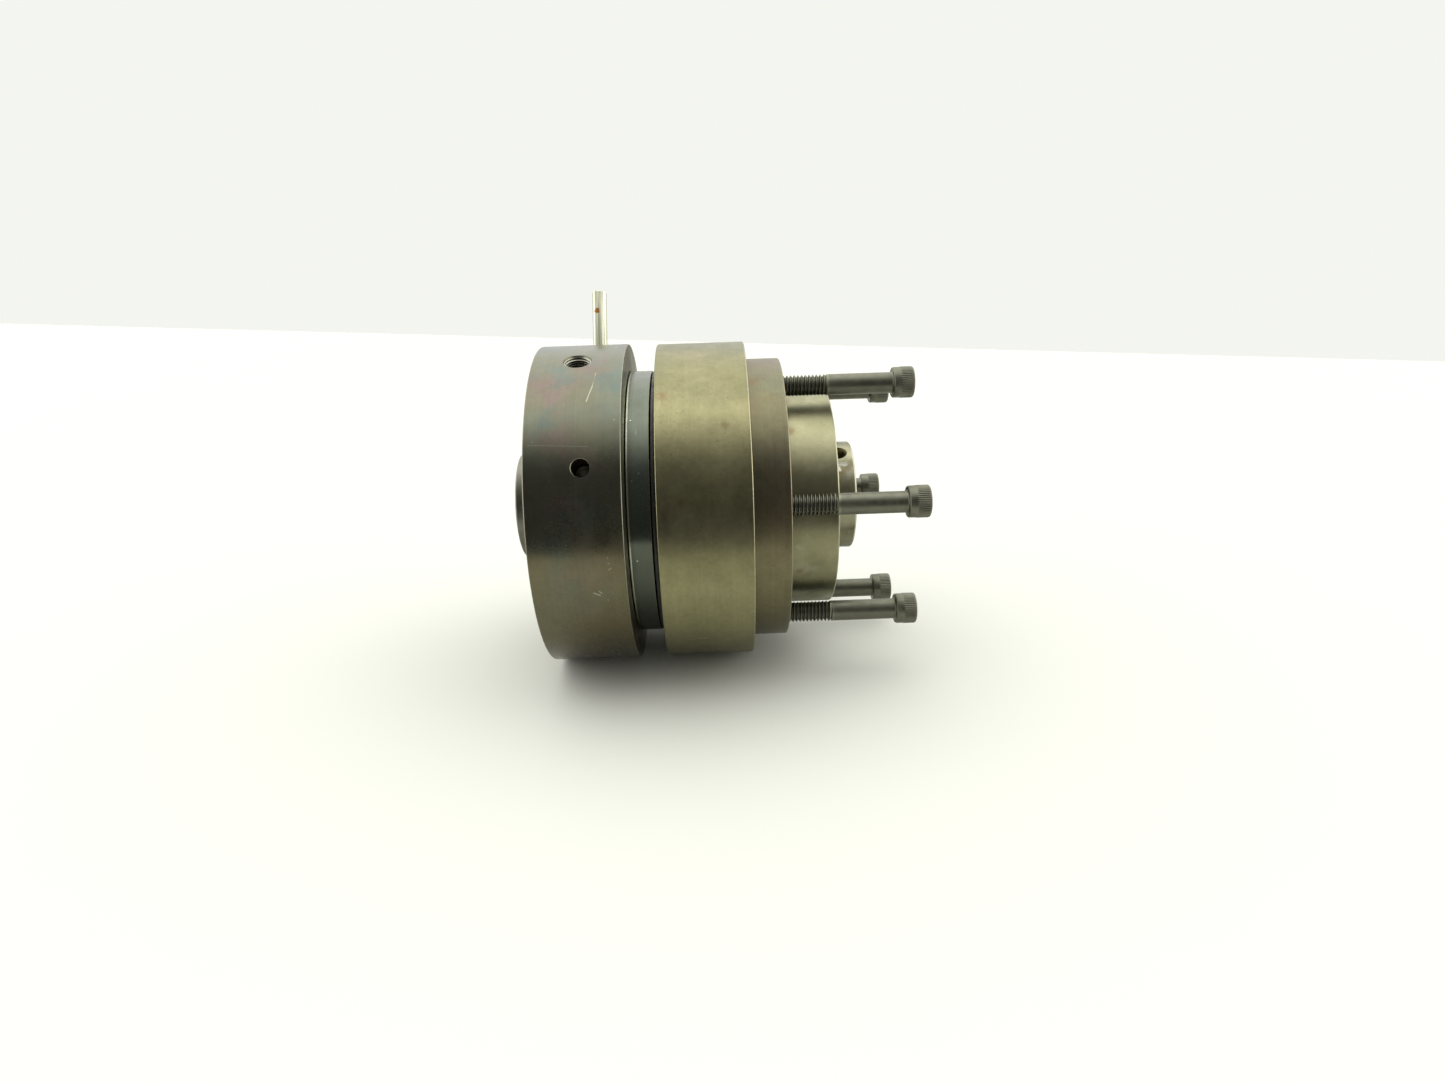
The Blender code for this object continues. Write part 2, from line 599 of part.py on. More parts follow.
def make_draw_tube(draw_axis):
    """The tube that carries the piston and pulls the collet, open for bar all the way."""
    edge = 1.0 * MM
    bore = 13.6 * MM
    front = -58.0 * MM
    groove_radius = 18.3 * MM  # for the piston's snap ring
    groove_front, groove_rear = -38.9 * MM, -37.5 * MM
    shoulder = PISTON_REAR + GAP
    outline = [
        (TUBE_REAR, bore), (TUBE_REAR, TUBE_RADIUS - edge), (TUBE_REAR - edge, TUBE_RADIUS),
        (shoulder, TUBE_RADIUS), (shoulder, TUBE_NECK_RADIUS), (groove_rear, TUBE_NECK_RADIUS),
        (groove_rear, groove_radius), (groove_front, groove_radius),
        (groove_front, TUBE_NECK_RADIUS), (front, TUBE_NECK_RADIUS), (front, COLLET_SPACE),
        (COLLET_REAR + GAP, COLLET_SPACE), (COLLET_REAR + GAP, bore),
    ]
    tube = chuck_piece("draw_tube", outline, "bright_steel", INNER_SIDES, draw_axis)
    drill(tube, "spanner_hole",
          crosswise([SPANNER_ANGLE], SPANNER_X, bore - 3 * MM, TUBE_RADIUS + 3 * MM),
          SPANNER_RADIUS)


def make_piston(draw_axis):
    rim = CYLINDER_RADIUS - GAP
    bore = TUBE_NECK_RADIUS + GAP
    groove_radius = 41.0 * MM  # for the piston seal
    groove_front, groove_rear = -35.0 * MM, -32.2 * MM
    recess = 22.2 * MM  # for the snap ring that holds the piston on the tube
    recess_floor = -37.4 * MM
    outline = [
        (PISTON_REAR, bore), (PISTON_REAR, rim), (groove_rear, rim),
        (groove_rear, groove_radius), (groove_front, groove_radius), (groove_front, rim),
        (PISTON_FRONT, rim), (PISTON_FRONT, recess), (recess_floor, recess),
        (recess_floor, bore),
    ]
    chuck_piece("piston", outline, "bronze", INNER_SIDES, draw_axis)
    chuck_piece("piston_seal", bush(-34.7 * MM, -32.5 * MM, 41.3 * MM, 43.7 * MM),
                "rubber", INNER_SIDES, draw_axis)
    chuck_piece("piston_snap_ring", bush(-38.6 * MM, -37.8 * MM, 18.6 * MM, 21.8 * MM),
                "black_oxide", INNER_SIDES, draw_axis)


def make_collet(draw_axis):
    """A spring collet, slotted in three from its front face."""
    edge = 0.4 * MM
    head = 18.65 * MM
    shank = 15.875 * MM
    taper_start = -101.3 * MM
    taper_end = taper_start + (head - shank) / math.tan(COLLET_TAPER)
    slot_length, slot_width, slot_height = 52 * MM, 1.6 * MM, 12 * MM
    outline = [
        (COLLET_FRONT, BAR_RADIUS), (COLLET_FRONT, head - edge), (COLLET_FRONT + edge, head),
        (taper_start, head), (taper_end, shank), (COLLET_REAR, shank), (COLLET_REAR, BAR_RADIUS),
    ]
    collet = chuck_piece("collet", outline, "bearing_steel", INNER_SIDES, draw_axis)
    shape = bmesh.new()
    for angle in spaced(3, 90.0):
        middle = COLLET_FRONT - 2 * MM + slot_length / 2
        place = Matrix.Translation(radial(angle, shank, middle))
        turn = Matrix.Rotation(math.pi / 2 - angle, 4, "X")
        size = Matrix.Diagonal((slot_length, slot_width, slot_height, 1.0))
        bmesh.ops.create_cube(shape, size=1.0, matrix=place @ turn @ size)
    combine(collet, tool("collet_slots", shape))


def make_mounting_screws():
    """The six screws that pass through the spindle's adapter into the back plate."""
    edge = 0.6 * MM
    outline = screw_outline(SCREW_HEAD_START - SCREW_TIP, SCREW_RADIUS, SCREW_HEAD_RADIUS,
                            SCREW_HEAD_HEIGHT, edge)
    top = SCREW_HEAD_START + SCREW_HEAD_HEIGHT
    for number, angle in enumerate(SCREW_ANGLES, 1):
        screw = turned(f"mounting_screw_{number}", outline, SMALL_SIDES, "black_oxide")
        screw.location = radial(angle, SCREW_CIRCLE, SCREW_TIP)
        screw.rotation_euler = AXIS
        drill(screw, f"socket_{number}",
              lengthwise([angle], SCREW_CIRCLE, top - HEX_DEPTH, top + 2 * MM), HEX_RADIUS, 6)


def main():
    clear_scene()
    ring_axis = axis_empty("air_ring_axis")
    draw_axis = axis_empty("draw_axis")
    make_chuck_body()
    make_back_plate()
    make_pilot()
    make_collar()
    make_seals()
    make_nose()
    make_springs()
    make_fasteners()
    make_bearings(ring_axis)
    make_air_ring(ring_axis)
    make_ring_covers(ring_axis)
    make_rod()
    make_draw_tube(draw_axis)
    make_piston(draw_axis)
    make_collet(draw_axis)
    make_mounting_screws()
    for item in parts.objects:
        if item.type == "MESH":
            smooth(item)


main()
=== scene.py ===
import json
import math

import bmesh
import bpy
import numpy as np
from mathutils import Matrix, Vector


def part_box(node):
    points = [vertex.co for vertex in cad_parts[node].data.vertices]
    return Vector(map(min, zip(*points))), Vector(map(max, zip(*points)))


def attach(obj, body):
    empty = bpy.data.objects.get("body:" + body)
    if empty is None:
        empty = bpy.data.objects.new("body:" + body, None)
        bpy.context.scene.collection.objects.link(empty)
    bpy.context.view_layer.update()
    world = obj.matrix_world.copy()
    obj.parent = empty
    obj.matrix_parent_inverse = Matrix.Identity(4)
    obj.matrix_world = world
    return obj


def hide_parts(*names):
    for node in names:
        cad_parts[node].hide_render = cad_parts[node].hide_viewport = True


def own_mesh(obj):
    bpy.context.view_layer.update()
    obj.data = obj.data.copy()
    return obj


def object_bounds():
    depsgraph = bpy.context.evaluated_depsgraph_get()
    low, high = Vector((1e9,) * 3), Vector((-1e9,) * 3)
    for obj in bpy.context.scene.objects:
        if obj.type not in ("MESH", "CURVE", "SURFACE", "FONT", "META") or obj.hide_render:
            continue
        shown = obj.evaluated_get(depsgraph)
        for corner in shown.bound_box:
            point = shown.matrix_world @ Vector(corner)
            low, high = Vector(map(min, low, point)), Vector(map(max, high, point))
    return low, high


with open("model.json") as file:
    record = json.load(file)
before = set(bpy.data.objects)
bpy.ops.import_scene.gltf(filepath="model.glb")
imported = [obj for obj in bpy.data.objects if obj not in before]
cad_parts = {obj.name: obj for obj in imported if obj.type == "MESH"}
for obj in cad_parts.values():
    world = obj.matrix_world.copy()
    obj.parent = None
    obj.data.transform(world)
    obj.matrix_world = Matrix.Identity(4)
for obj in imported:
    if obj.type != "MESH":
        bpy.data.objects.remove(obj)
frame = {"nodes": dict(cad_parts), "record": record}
cad_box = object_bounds()

TAU = math.tau
MM = 0.001
GAP = 0.3 * MM  # left between a piece and the seat it lies in
EDGE = 0.55  # fillet on the edges of the two big rings, in millimetres
FLARE = 1.0  # how far a hole's cutter stands out of the surface, in millimetres
SIDES = 288  # round the big turned pieces
INNER = 192  # round the smaller ones
REARWARD, FORWARD = (1, 0, 0), (-1, 0, 0)

nodes = frame["nodes"]
body_of = {n: body for body, names in frame["record"]["behaviour"]["bodies"].items() for n in names}


# ---------------------------------------------------------------- measuring the CAD

def points_of(node):
    return np.array([v.co for v in nodes[node].data.vertices], float)


def span(node):
    """Where a node starts and ends along X."""
    low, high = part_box(node)
    return low[0], high[0]


def radii(node):
    """The least and greatest distance of a node's corners from the X axis."""
    points = points_of(node)
    away = np.hypot(points[:, 1], points[:, 2])
    return away.min(), away.max()


def sizes(node):
    return (*span(node), *radii(node))


def centre(node):
    low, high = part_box(node)
    return (Vector(low) + Vector(high)) / 2


def on_axes(name, count, x):
    """The points at x on the axes of a numbered row of nodes."""
    return [Vector((x, *centre(f"{name}_{k + 1}").yz)) for k in range(count)]


def angle_of(node):
    """The angle of a node's centre round X, from -Y towards +Z."""
    middle = centre(node)
    return math.atan2(middle.z, -middle.y)


def radial(angle, radius=1.0, x=0.0):
    return Vector((x, -math.cos(angle) * radius, math.sin(angle) * radius))


# ---------------------------------------------------------------- mesh tools

def new_object(name, data):
    item = bpy.data.objects.new(name, data)
    bpy.context.scene.collection.objects.link(item)
    return item


def two_places(mesh, drilled=False):
    """Gives a mesh its two material places, 0 turned and 1 drilled, and puts its faces in one."""
    mesh.materials.append(None)
    mesh.materials.append(None)
    if drilled:
        mesh.polygons.foreach_set("material_index", [1] * len(mesh.polygons))
    return mesh


def mesh_of(name, shape, drilled=False):
    mesh = bpy.data.meshes.new(name)
    shape.to_mesh(mesh)
    shape.free()
    return two_places(mesh, drilled)


def aim(origin, direction):
    """The matrix that puts local X along a direction at an origin."""
    turn = Vector(direction).to_track_quat("X", "Z").to_matrix().to_4x4()
    return Matrix.Translation(origin) @ turn


def rounded(corners, steps=5):
    """A closed outline with its corners filleted. A corner is (x, r) or (x, r, fillet), with the
    fillet in millimetres."""
    result = []
    count = len(corners)
    for i, corner in enumerate(corners):
        here = np.array(corner[:2], float)
        if len(corner) < 3:
            result.append(tuple(here))
            continue
        before = np.array(corners[i - 1][:2], float) - here
        after = np.array(corners[(i + 1) % count][:2], float) - here
        length_a, length_b = np.linalg.norm(before), np.linalg.norm(after)
        before, after = before / length_a, after / length_b
        half = math.acos(max(-1.0, min(1.0, float(before @ after)))) / 2
        reach = min(corner[2] * MM / math.tan(half), 0.48 * length_a, 0.48 * length_b)
        radius = reach * math.tan(half)
        hub = here + (before + after) / np.linalg.norm(before + after) * radius / math.sin(half)
        start, end = here + before * reach - hub, here + after * reach - hub
        sweep = math.atan2(start[0] * end[1] - start[1] * end[0], float(start @ end))
        for step in range(steps + 1):
            c, s = math.cos(sweep * step / steps), math.sin(sweep * step / steps)
            result.append((hub[0] + c * start[0] - s * start[1],
                           hub[1] + s * start[0] + c * start[1]))
    return result


def hoop(front, rear, bore, radius, inner=0.2, outer=0.3, steps=5):
    """The outline of a plain ring, with a fillet at its bore and another at its rim."""
    return rounded([(front, bore, inner), (front, radius, outer), (rear, radius, outer),
                    (rear, bore, inner)], steps)


def spin(name, outline, sides=SIDES, matrix=None, cutter=False):
    """A mesh turned about X from a closed outline of (x, r) points."""
    area = sum(a[0] * b[1] - b[0] * a[1] for a, b in zip(outline, outline[1:] + outline[:1]))
    if area < 0:
        outline = outline[::-1]
    turn = np.arange(sides) * TAU / sides
    rows, verts = [], []
    for x, r in outline:
        if r < 1e-7:
            rows.append([len(verts)] * sides)
            verts.append((x, 0.0, 0.0))
        else:
            rows.append(list(range(len(verts), len(verts) + sides)))
            verts.extend(zip(np.full(sides, x), -np.cos(turn) * r, np.sin(turn) * r))
    faces = []
    for row, after in zip(rows, rows[1:] + rows[:1]):
        for i in range(sides):
            j = (i + 1) % sides
            corners = list(dict.fromkeys((row[i], row[j], after[j], after[i])))
            if len(corners) > 2:
                faces.append(corners)
    mesh = bpy.data.meshes.new(name)
    mesh.from_pydata([tuple(map(float, v)) for v in verts], [], faces)
    if matrix is not None:
        mesh.transform(matrix)
    two_places(mesh, cutter)
    mesh.update()
    return mesh


def circle(sides):
    """The angles of the points round a row, and the points of a row of radius 1."""
    turn = np.arange(sides) * TAU / sides
    return turn, np.stack([np.zeros(sides), -np.cos(turn), np.sin(turn)], 1)


def grid_mesh(name, rows):
    """A mesh lofted through rows of points, closed round each row, from the -X end to the +X
    end."""
    count = len(rows[0])
    verts = np.concatenate([np.asarray(row, float) for row in rows])
    faces = []
    for first in range(0, len(verts) - count, count):
        for i in range(count):
            k = (i + 1) % count
            faces.append((first + i, first + count + i, first + count + k, first + k))
    mesh = bpy.data.meshes.new(name)
    mesh.from_pydata(verts.tolist(), [], faces)
    return weld(mesh)


def weld(mesh, reach=3e-7):
    """The mesh with the points that lie together made one, the faces that shrank to nothing
    taken out, and small gaps filled."""
    shape = bmesh.new()
    shape.from_mesh(mesh)
    bmesh.ops.remove_doubles(shape, verts=shape.verts, dist=reach)
    bmesh.ops.dissolve_degenerate(shape, dist=reach, edges=shape.edges)
    worn_and_lit_rims = [edge for edge in shape.edges if edge.is_boundary]
    bmesh.ops.holes_fill(shape, edges=worn_and_lit_rims, sides=6)
    shape.to_mesh(mesh)
    shape.free()
    mesh.update()
    return mesh


def cut(mesh, cutters):
    """The mesh with each cutter mesh taken away."""
    holder = new_object("holder", mesh)
    tools = [new_object("cutter", cutter) for cutter in cutters]
    for item in tools:
        step = holder.modifiers.new("cut", "BOOLEAN")
        step.operation, step.solver, step.object = "DIFFERENCE", "EXACT", item
    bpy.context.view_layer.update()
    shown = holder.evaluated_get(bpy.context.evaluated_depsgraph_get())
    result = bpy.data.meshes.new_from_object(shown)
    result.name = mesh.name
    for item in (holder, *tools):
        bpy.data.objects.remove(item, do_unlink=True)
    return weld(result, 4e-6)


def join(name, meshes):
    shape = bmesh.new()
    for mesh in meshes:
        shape.from_mesh(mesh)
    return mesh_of(name, shape)


def shade_turned(mesh):
    """Smooth normals: turned faces take the normal of the surface turned about X, and drilled
    faces (material 1) are averaged among themselves."""
    mesh.shade_smooth()

    def read(items, field, width=1, kind=float):
        values = np.empty(len(items) * width, dtype=kind)
        items.foreach_get(field, values)
        return values.reshape(-1, width) if width > 1 else values

    def unit(rows, least=1e-9):
        return rows / np.maximum(np.linalg.norm(rows, axis=1), least)[:, None]

    faces = mesh.polygons
    normal, area = read(faces, "normal", 3), read(faces, "area")
    corner = read(mesh.loops, "vertex_index", kind=np.int32)
    place = read(mesh.vertices, "co", 3)
    away = unit(read(faces, "center", 3)[:, 1:])
    flat = unit(np.stack([normal[:, 0], np.einsum("ij,ij->i", normal[:, 1:], away)], 1))
    face = np.repeat(np.arange(len(faces)), read(faces, "loop_total", kind=np.int32))
    turned = read(faces, "material_index", kind=np.int32)[face] == 0

    def averaged(values, use):
        total = np.zeros((len(place), values.shape[1]))
        np.add.at(total, corner[use], values[face[use]] * area[face[use]][:, None])
        mean, own = unit(total, 1e-12)[corner], values[face]
        close = np.einsum("ij,ij->i", mean, own) > math.cos(math.radians(36))
        return np.where(close[:, None], mean, own)

    around = averaged(flat, turned)
    away = unit(place[corner][:, 1:])
    turned_normal = np.concatenate([around[:, :1], away * around[:, 1:]], 1)
    result = np.where(turned[:, None], turned_normal, averaged(normal, ~turned))
    mesh.normals_split_custom_set(result.tolist())
    return mesh


def shade_by_angle(mesh, degrees):
    mesh.shade_smooth()
    mesh.set_sharp_from_angle(angle=math.radians(degrees))
    return mesh


def drill_bit(origin, direction, outline, sides=72):
    """A cutter turned about its own axis: outline is (distance along it, radius) in
    millimetres."""
    outline = [(x * MM, r * MM) for x, r in outline]
    return spin("bit", outline, sides, aim(origin, direction), cutter=True)


def bore_bit(origin, direction, radius, start, end, sides=40):
    """A plain round cutter from start to end along its axis, in millimetres."""
    return drill_bit(origin, direction, [(start, 0), (start, radius), (end, radius), (end, 0)],
                     sides)


def hole_bit(surface, outward, radius, depth, mouth=0.3, point=True, sides=72):
    """A drilled hole with a chamfered mouth, and a drill's cone or a flat at the bottom. Sizes
    are in millimetres."""
    bottom = -depth - 0.55 * radius if point else -depth
    return drill_bit(surface, outward, [(bottom, 0), (-depth, radius), (-mouth, radius),
                                        (FLARE, radius + mouth + FLARE), (FLARE, 0)], sides)


def slot_cutters(angles, start, end, inner, outer, width):
    """Flat-sided slots along the axis, cut out from it at each angle."""
    result = []
    for angle in angles:
        shape = bmesh.new()
        turn = Matrix.Rotation(math.pi / 2 - angle, 4, "X")
        size = Matrix.Diagonal((end - start, width, outer - inner, 1.0))
        place = Matrix.Translation(radial(angle, (inner + outer) / 2, (start + end) / 2))
        bmesh.ops.create_cube(shape, size=1.0, matrix=place @ turn @ size)
        result.append(mesh_of("slot", shape, drilled=True))
    return result


def add_piece(name, mesh, body, materials, matrix=None, stands_for=None):
    """A visible piece on a body, with a material for each of its places."""
    mesh.materials.clear()
    for material in materials:
        mesh.materials.append(material)
    piece = new_object(name, mesh)
    if matrix is not None:
        piece.matrix_world = matrix
    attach(piece, body)
    if stands_for:
        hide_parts(stands_for)
    return piece


def show(node, mesh, material, drilled=None, matrix=None):
    """A visible piece in place of a CAD node, on the node's body and with its finish."""
    return add_piece("fine_" + node, mesh, body_of[node],
                     [material, drilled or material], matrix, node)


def show_turned(node, outline, material, bits=(), drilled=None, sides=SIDES, matrix=None):
    """A turned piece in place of a CAD node, with its holes cut."""
    mesh = spin(node, outline, sides)
    show(node, shade_turned(cut(mesh, bits) if bits else mesh), material, drilled, matrix)


# ---------------------------------------------------------------- materials

class Nodes:
    """Arithmetic in a node tree. A value is a socket or a constant."""

    def __init__(self, tree):
        self.tree = tree

    def add(self, kind, **inputs):
        """A new node with its inputs fed by name; _ stands for a space."""
        node = self.tree.nodes.new("ShaderNode" + kind)
        for name, value in inputs.items():
            self.feed(value, node.inputs[name.replace("_", " ")])
        return node

    def link(self, source, target):
        self.tree.links.new(source, target)

    def feed(self, value, target):
        if isinstance(value, bpy.types.NodeSocket):
            self.link(value, target)
        elif target.type == "RGBA":
            target.default_value = (*value[:3], 1.0)
        else:
            target.default_value = value

    def math(self, operation, a, b=None, clamp=False):
        node = self.add("Math")
        node.operation = operation
        node.use_clamp = clamp
        self.feed(a, node.inputs[0])
        if b is not None:
            self.feed(b, node.inputs[1])
        return node.outputs[0]

    def plus(self, a, b):
        return self.math("ADD", a, b)

    def minus(self, a, b, clamp=False):
        return self.math("SUBTRACT", a, b, clamp)

    def times(self, a, b):
        return self.math("MULTIPLY", a, b)

    def hypot(self, a, b):
        return self.math("SQRT", self.plus(self.times(a, a), self.times(b, b)))

    def centred(self, value, gain):
        """A 0 to 1 value spread evenly round 0."""
        return self.times(self.minus(value, 0.5), gain)

    def step(self, value, low, high, out_low=0.0, out_high=1.0):
        """A smooth step of a value from low to high."""
        node = self.add("MapRange", Value=value, From_Min=low, From_Max=high, To_Min=out_low,
                        To_Max=out_high)
        node.interpolation_type = "SMOOTHSTEP"
        return node.outputs["Result"]

    def mix(self, amount, a, b, blend="MIX"):
        node = self.add("Mix")
        node.data_type = "RGBA"
        node.blend_type = blend
        for index, value in ((0, amount), (6, a), (7, b)):
            self.feed(value, node.inputs[index])
        return node.outputs[2]


class Finish(Nodes):
    """A procedural material laid out round a piece's own X axis."""

    def __init__(self, name, seed=0.0, axis=None):
        """axis is the matrix of the piece's own frame, where that isn't the object's."""
        self.material = bpy.data.materials.new(name)
        self.material.use_nodes = True
        super().__init__(self.material.node_tree)
        self.shader = self.tree.nodes["Principled BSDF"]
        self.coords = self.add("TexCoord").outputs["Object"]
        if axis is not None:
            away = self.vector("SUBTRACT", self.coords, tuple(axis.translation))
            x, y, z = (self.vector("DOT_PRODUCT", away, tuple(direction))
                       for direction in axis.to_3x3().transposed())
            self.coords = self.add("CombineXYZ", X=x, Y=y, Z=z).outputs[0]
        self.x, self.y, self.z = self.add("SeparateXYZ", Vector=self.coords).outputs
        self.r = self.hypot(self.y, self.z)
        self.along = self.plus(self.x, self.r)
        self.seed = seed

    def vector(self, operation, a, b):
        node = self.add("VectorMath")
        node.operation = operation
        self.feed(a, node.inputs[0])
        self.feed(b, node.inputs[1])
        return node.outputs["Value" if operation in ("DOT_PRODUCT", "DISTANCE") else "Vector"]

    def noise(self, scale, detail=3.0, rough=0.55, shift=0.0, stretch=None, warp=0.0):
        """Noise whose scale is in features per metre."""
        offset = (self.seed + shift, 0.37 * self.seed - shift, shift)
        moved = self.vector("ADD", self.coords, offset)
        if stretch:
            moved = self.vector("MULTIPLY", moved, stretch)
        return self.add("TexNoise", Vector=moved, Scale=scale, Detail=detail, Roughness=rough,
                        Distortion=warp).outputs["Fac"]

    def turning(self, spacing, wander=18.0, detail=2.0):
        """Marks that run round the piece, so many metres apart along its outline."""
        place = self.add("CombineXYZ", X=self.times(self.along, 1.0 / spacing),
                         Y=self.times(self.y, wander), Z=self.times(self.z, wander))
        moved = self.vector("ADD", place.outputs[0], (self.seed * 31, 0.0, 0.0))
        return self.add("TexNoise", Vector=moved, Scale=1.0, Detail=detail,
                        Roughness=0.6).outputs["Fac"]

    def rim(self, x, r, width):
        """1 on the circle at (x, r), falling to 0 a ragged width away."""
        away = self.hypot(self.minus(self.x, x), self.minus(self.r, r))
        ragged = self.times(self.noise(350, 4.0, 0.65, shift=x * 50), 0.9 * width)
        return self.step(self.plus(away, ragged), 0.7 * width, 1.7 * width, 1.0, 0.0)

    def line(self, start, end, width):
        """1 along a straight scratch from one point to another."""
        run = end - start
        offset = self.vector("SUBTRACT", self.coords, tuple(start))
        share = self.math("DIVIDE", self.vector("DOT_PRODUCT", offset, tuple(run)),
                          run.length_squared, clamp=True)
        foot = self.add("VectorMath")
        foot.operation = "SCALE"
        foot.inputs[0].default_value = tuple(run)
        self.link(share, foot.inputs["Scale"])
        away = self.vector("DISTANCE", offset, foot.outputs["Vector"])
        return self.step(away, 0.35 * width, width, 1.0, 0.0)

    def most(self, masks):
        result = masks[0]
        for mask in masks[1:]:
            result = self.math("MAXIMUM", result, mask)
        return result

    def bump(self, *layers):
        """Joins (height, depth in millimetres) layers into the shader's normal."""
        below = self.shader.inputs["Normal"]
        for height, depth in reversed(layers):
            node = self.add("Bump", Strength=1.0, Distance=depth * MM, Height=height)
            self.link(node.outputs["Normal"], below)
            below = node.inputs["Normal"]

    def done(self, colour, roughness, metallic):
        self.link(colour, self.shader.inputs["Base Color"])
        self.link(roughness, self.shader.inputs["Roughness"])
        self.shader.inputs["Metallic"].default_value = metallic
        return self.material


def steel(name, seed, tints, rough, worn_and_lit_rims=(), lines=(), bright=(0.48, 0.46, 0.36), rim_wear_and_highlight=0.8,
          mottle=0.35, specks=0.5, marks=0.5, scratches=0.5, patch=28.0, painted_lower_tint=None, stains=(),
          ends=(), painted_light_belts=()):
    """Turned steel: tints mixed in patches, mottling, dark specks, turning marks, fine scratches
    and rubbed edges, which also serve as painted edge highlights. rims are (x, r, width in
    millimetres); lines are (start, end, width); under is a tint painted on the lower half as
    its shade and reflected floor light; stains are (place, radius) of brown rust stains; ends
    are (x, tint) of end faces painted another tint as a highlight; belts are (bottom, top,
    tint) of heights, in millimetres, painted paler or darker as reflected light and shade."""
    f = Finish(name, seed)
    # broad changes of tint
    colour = f.mix(f.step(f.noise(patch, 3.0, 0.5), 0.38, 0.62), tints[0], tints[1])
    for k, tint in enumerate(tints[2:]):
        blot = f.noise(patch * (1.7 + 0.4 * k), 4.0, 0.6, shift=3.1 + 5 * k)
        colour = f.mix(f.step(blot, 0.5, 0.66), colour, tint)
    # the lower half takes another tint: painted shade and reflected floor light
    if painted_lower_tint:
        low = f.plus(f.z, f.times(f.noise(patch, 3.0, 0.6, shift=9.4), 16 * MM))
        share = f.step(f.noise(0.8 * patch, 3.0, 0.6, shift=12.6), 0.36, 0.6, 0.55, 1.0)
        share = f.times(share, f.step(low, 2 * MM, 28 * MM, 1.0, 0.0))
        colour = f.mix(share, colour, painted_lower_tint)
    # bands of height painted paler or darker: painted reflections of the bright light above and of
    # the dark front
    for low, high, tint in painted_light_belts:
        ragged = f.noise(0.7 * patch, 4.0, 0.6, shift=low * MM * 90)
        place = f.plus(f.z, f.centred(ragged, 14 * MM))
        share = f.times(f.step(place, low * MM, (low + 15) * MM, 0.0, 0.8),
                        f.step(place, (high - 9) * MM, high * MM, 1.0, 0.0))
        colour = f.mix(share, colour, tint)
    # mottling at two scales, and faint bands left by turning
    fine = f.noise(620, 5.0, 0.65, shift=1.3)
    coarse = f.noise(170, 4.0, 0.6, shift=5.7)
    tone = f.plus(f.centred(fine, 1.2 * mottle), f.centred(coarse, 1.6 * mottle))
    tone = f.plus(tone, f.centred(f.turning(0.9 * MM, 9.0, 3.0), 0.5 * marks))
    grey = f.plus(tone, 1.0)
    shade = f.add("CombineColor", Red=grey, Green=grey, Blue=grey)
    colour = f.mix(1.0, colour, shade.outputs[0], "MULTIPLY")
    # dark specks of old stain
    speck = f.times(f.step(f.noise(1500, 2.0, 0.5, shift=8.2), 0.66, 0.72),
                    f.step(f.noise(90, 2.0, 0.5, shift=2.9), 0.42, 0.62))
    colour = f.mix(f.times(speck, specks), colour, tuple(0.3 * c for c in tints[0]))
    dull = 0.0
    # end faces are painted another tint and made rougher: a painted highlight where the face
    # catches light
    for x, tint in ends:
        face = f.step(f.math("ABSOLUTE", f.minus(f.x, x)), 0.1 * MM, 0.25 * MM, 1.0, 0.0)
        colour = f.mix(f.times(face, 0.9), colour, tint)
        dull = f.plus(dull, f.times(face, 0.12))
    for place, size in stains:
        ragged = f.times(f.noise(0.9 / size, 5.0, 0.7, shift=place[2] * 90), 1.6 * size)
        away = f.plus(f.vector("DISTANCE", f.coords, tuple(place)), ragged)
        colour = f.mix(f.step(away, 0.9 * size, 2.4 * size, 0.55, 0.0), colour,
                       (0.160, 0.104, 0.054))
    # hair scratches, mostly round the piece
    hair = f.noise(60, 1.0, 0.5, shift=4.4, stretch=(9.0, 1.0, 1.0), warp=0.3)
    hair = f.times(f.step(f.math("ABSOLUTE", f.minus(hair, 0.5)), 0.0008, 0.0035, 1.0, 0.0),
                   f.step(f.noise(75, 2.0, 0.5, shift=6.6), 0.54, 0.66))
    # the mask below gathers real hair scratches, scratches and nicks, and the rubbed rims, which
    # are partly real wear and partly painted edge highlights
    wear_and_highlight = f.most([f.times(hair, 0.55 * scratches)]
                  + [f.times(f.rim(x, r, width * MM), rim_wear_and_highlight) for x, r, width in worn_and_lit_rims]
                  + [f.line(*line) for line in lines])
    colour = f.mix(wear_and_highlight, colour, bright)
    # roughness: smeared with oil, rougher on specks, smoother where rubbed
    smear = f.noise(45, 4.0, 0.6, shift=7.5, stretch=(1.0, 0.6, 0.6), warp=0.5)
    roughness = f.plus(f.step(smear, 0.3, 0.7, rough - 0.04, rough + 0.07), f.centred(fine, 0.08))
    roughness = f.plus(f.plus(roughness, f.times(speck, 0.1)), dull)
    roughness = f.minus(roughness, f.times(wear_and_highlight, 0.07), clamp=True)
    f.bump((f.turning(0.22 * MM, 6.0, 2.0), 0.007 * marks), (coarse, 0.008 * mottle),
           (fine, 0.003 * mottle))
    return f.done(colour, roughness, 1.0)


def scratch(radius, start, end, width):
    """The line of a scratch on a turned surface. Its ends are (degrees round, millimetres along
    X)."""
    start, end = (radial(math.radians(angle), radius, x * MM) for angle, x in (start, end))
    return start, end, width * MM


def nick(radius, degrees, x):
    """The line of a small bright nick."""
    start = radial(math.radians(degrees), radius, x * MM)
    return start, start + Vector((0.12 * MM, 0.0, 0.05 * MM)), 0.24 * MM


def stain(radius, degrees, x, size):
    """A stain on a turned surface, at x metres and so many millimetres in size."""
    return radial(math.radians(degrees), radius, x), size * MM


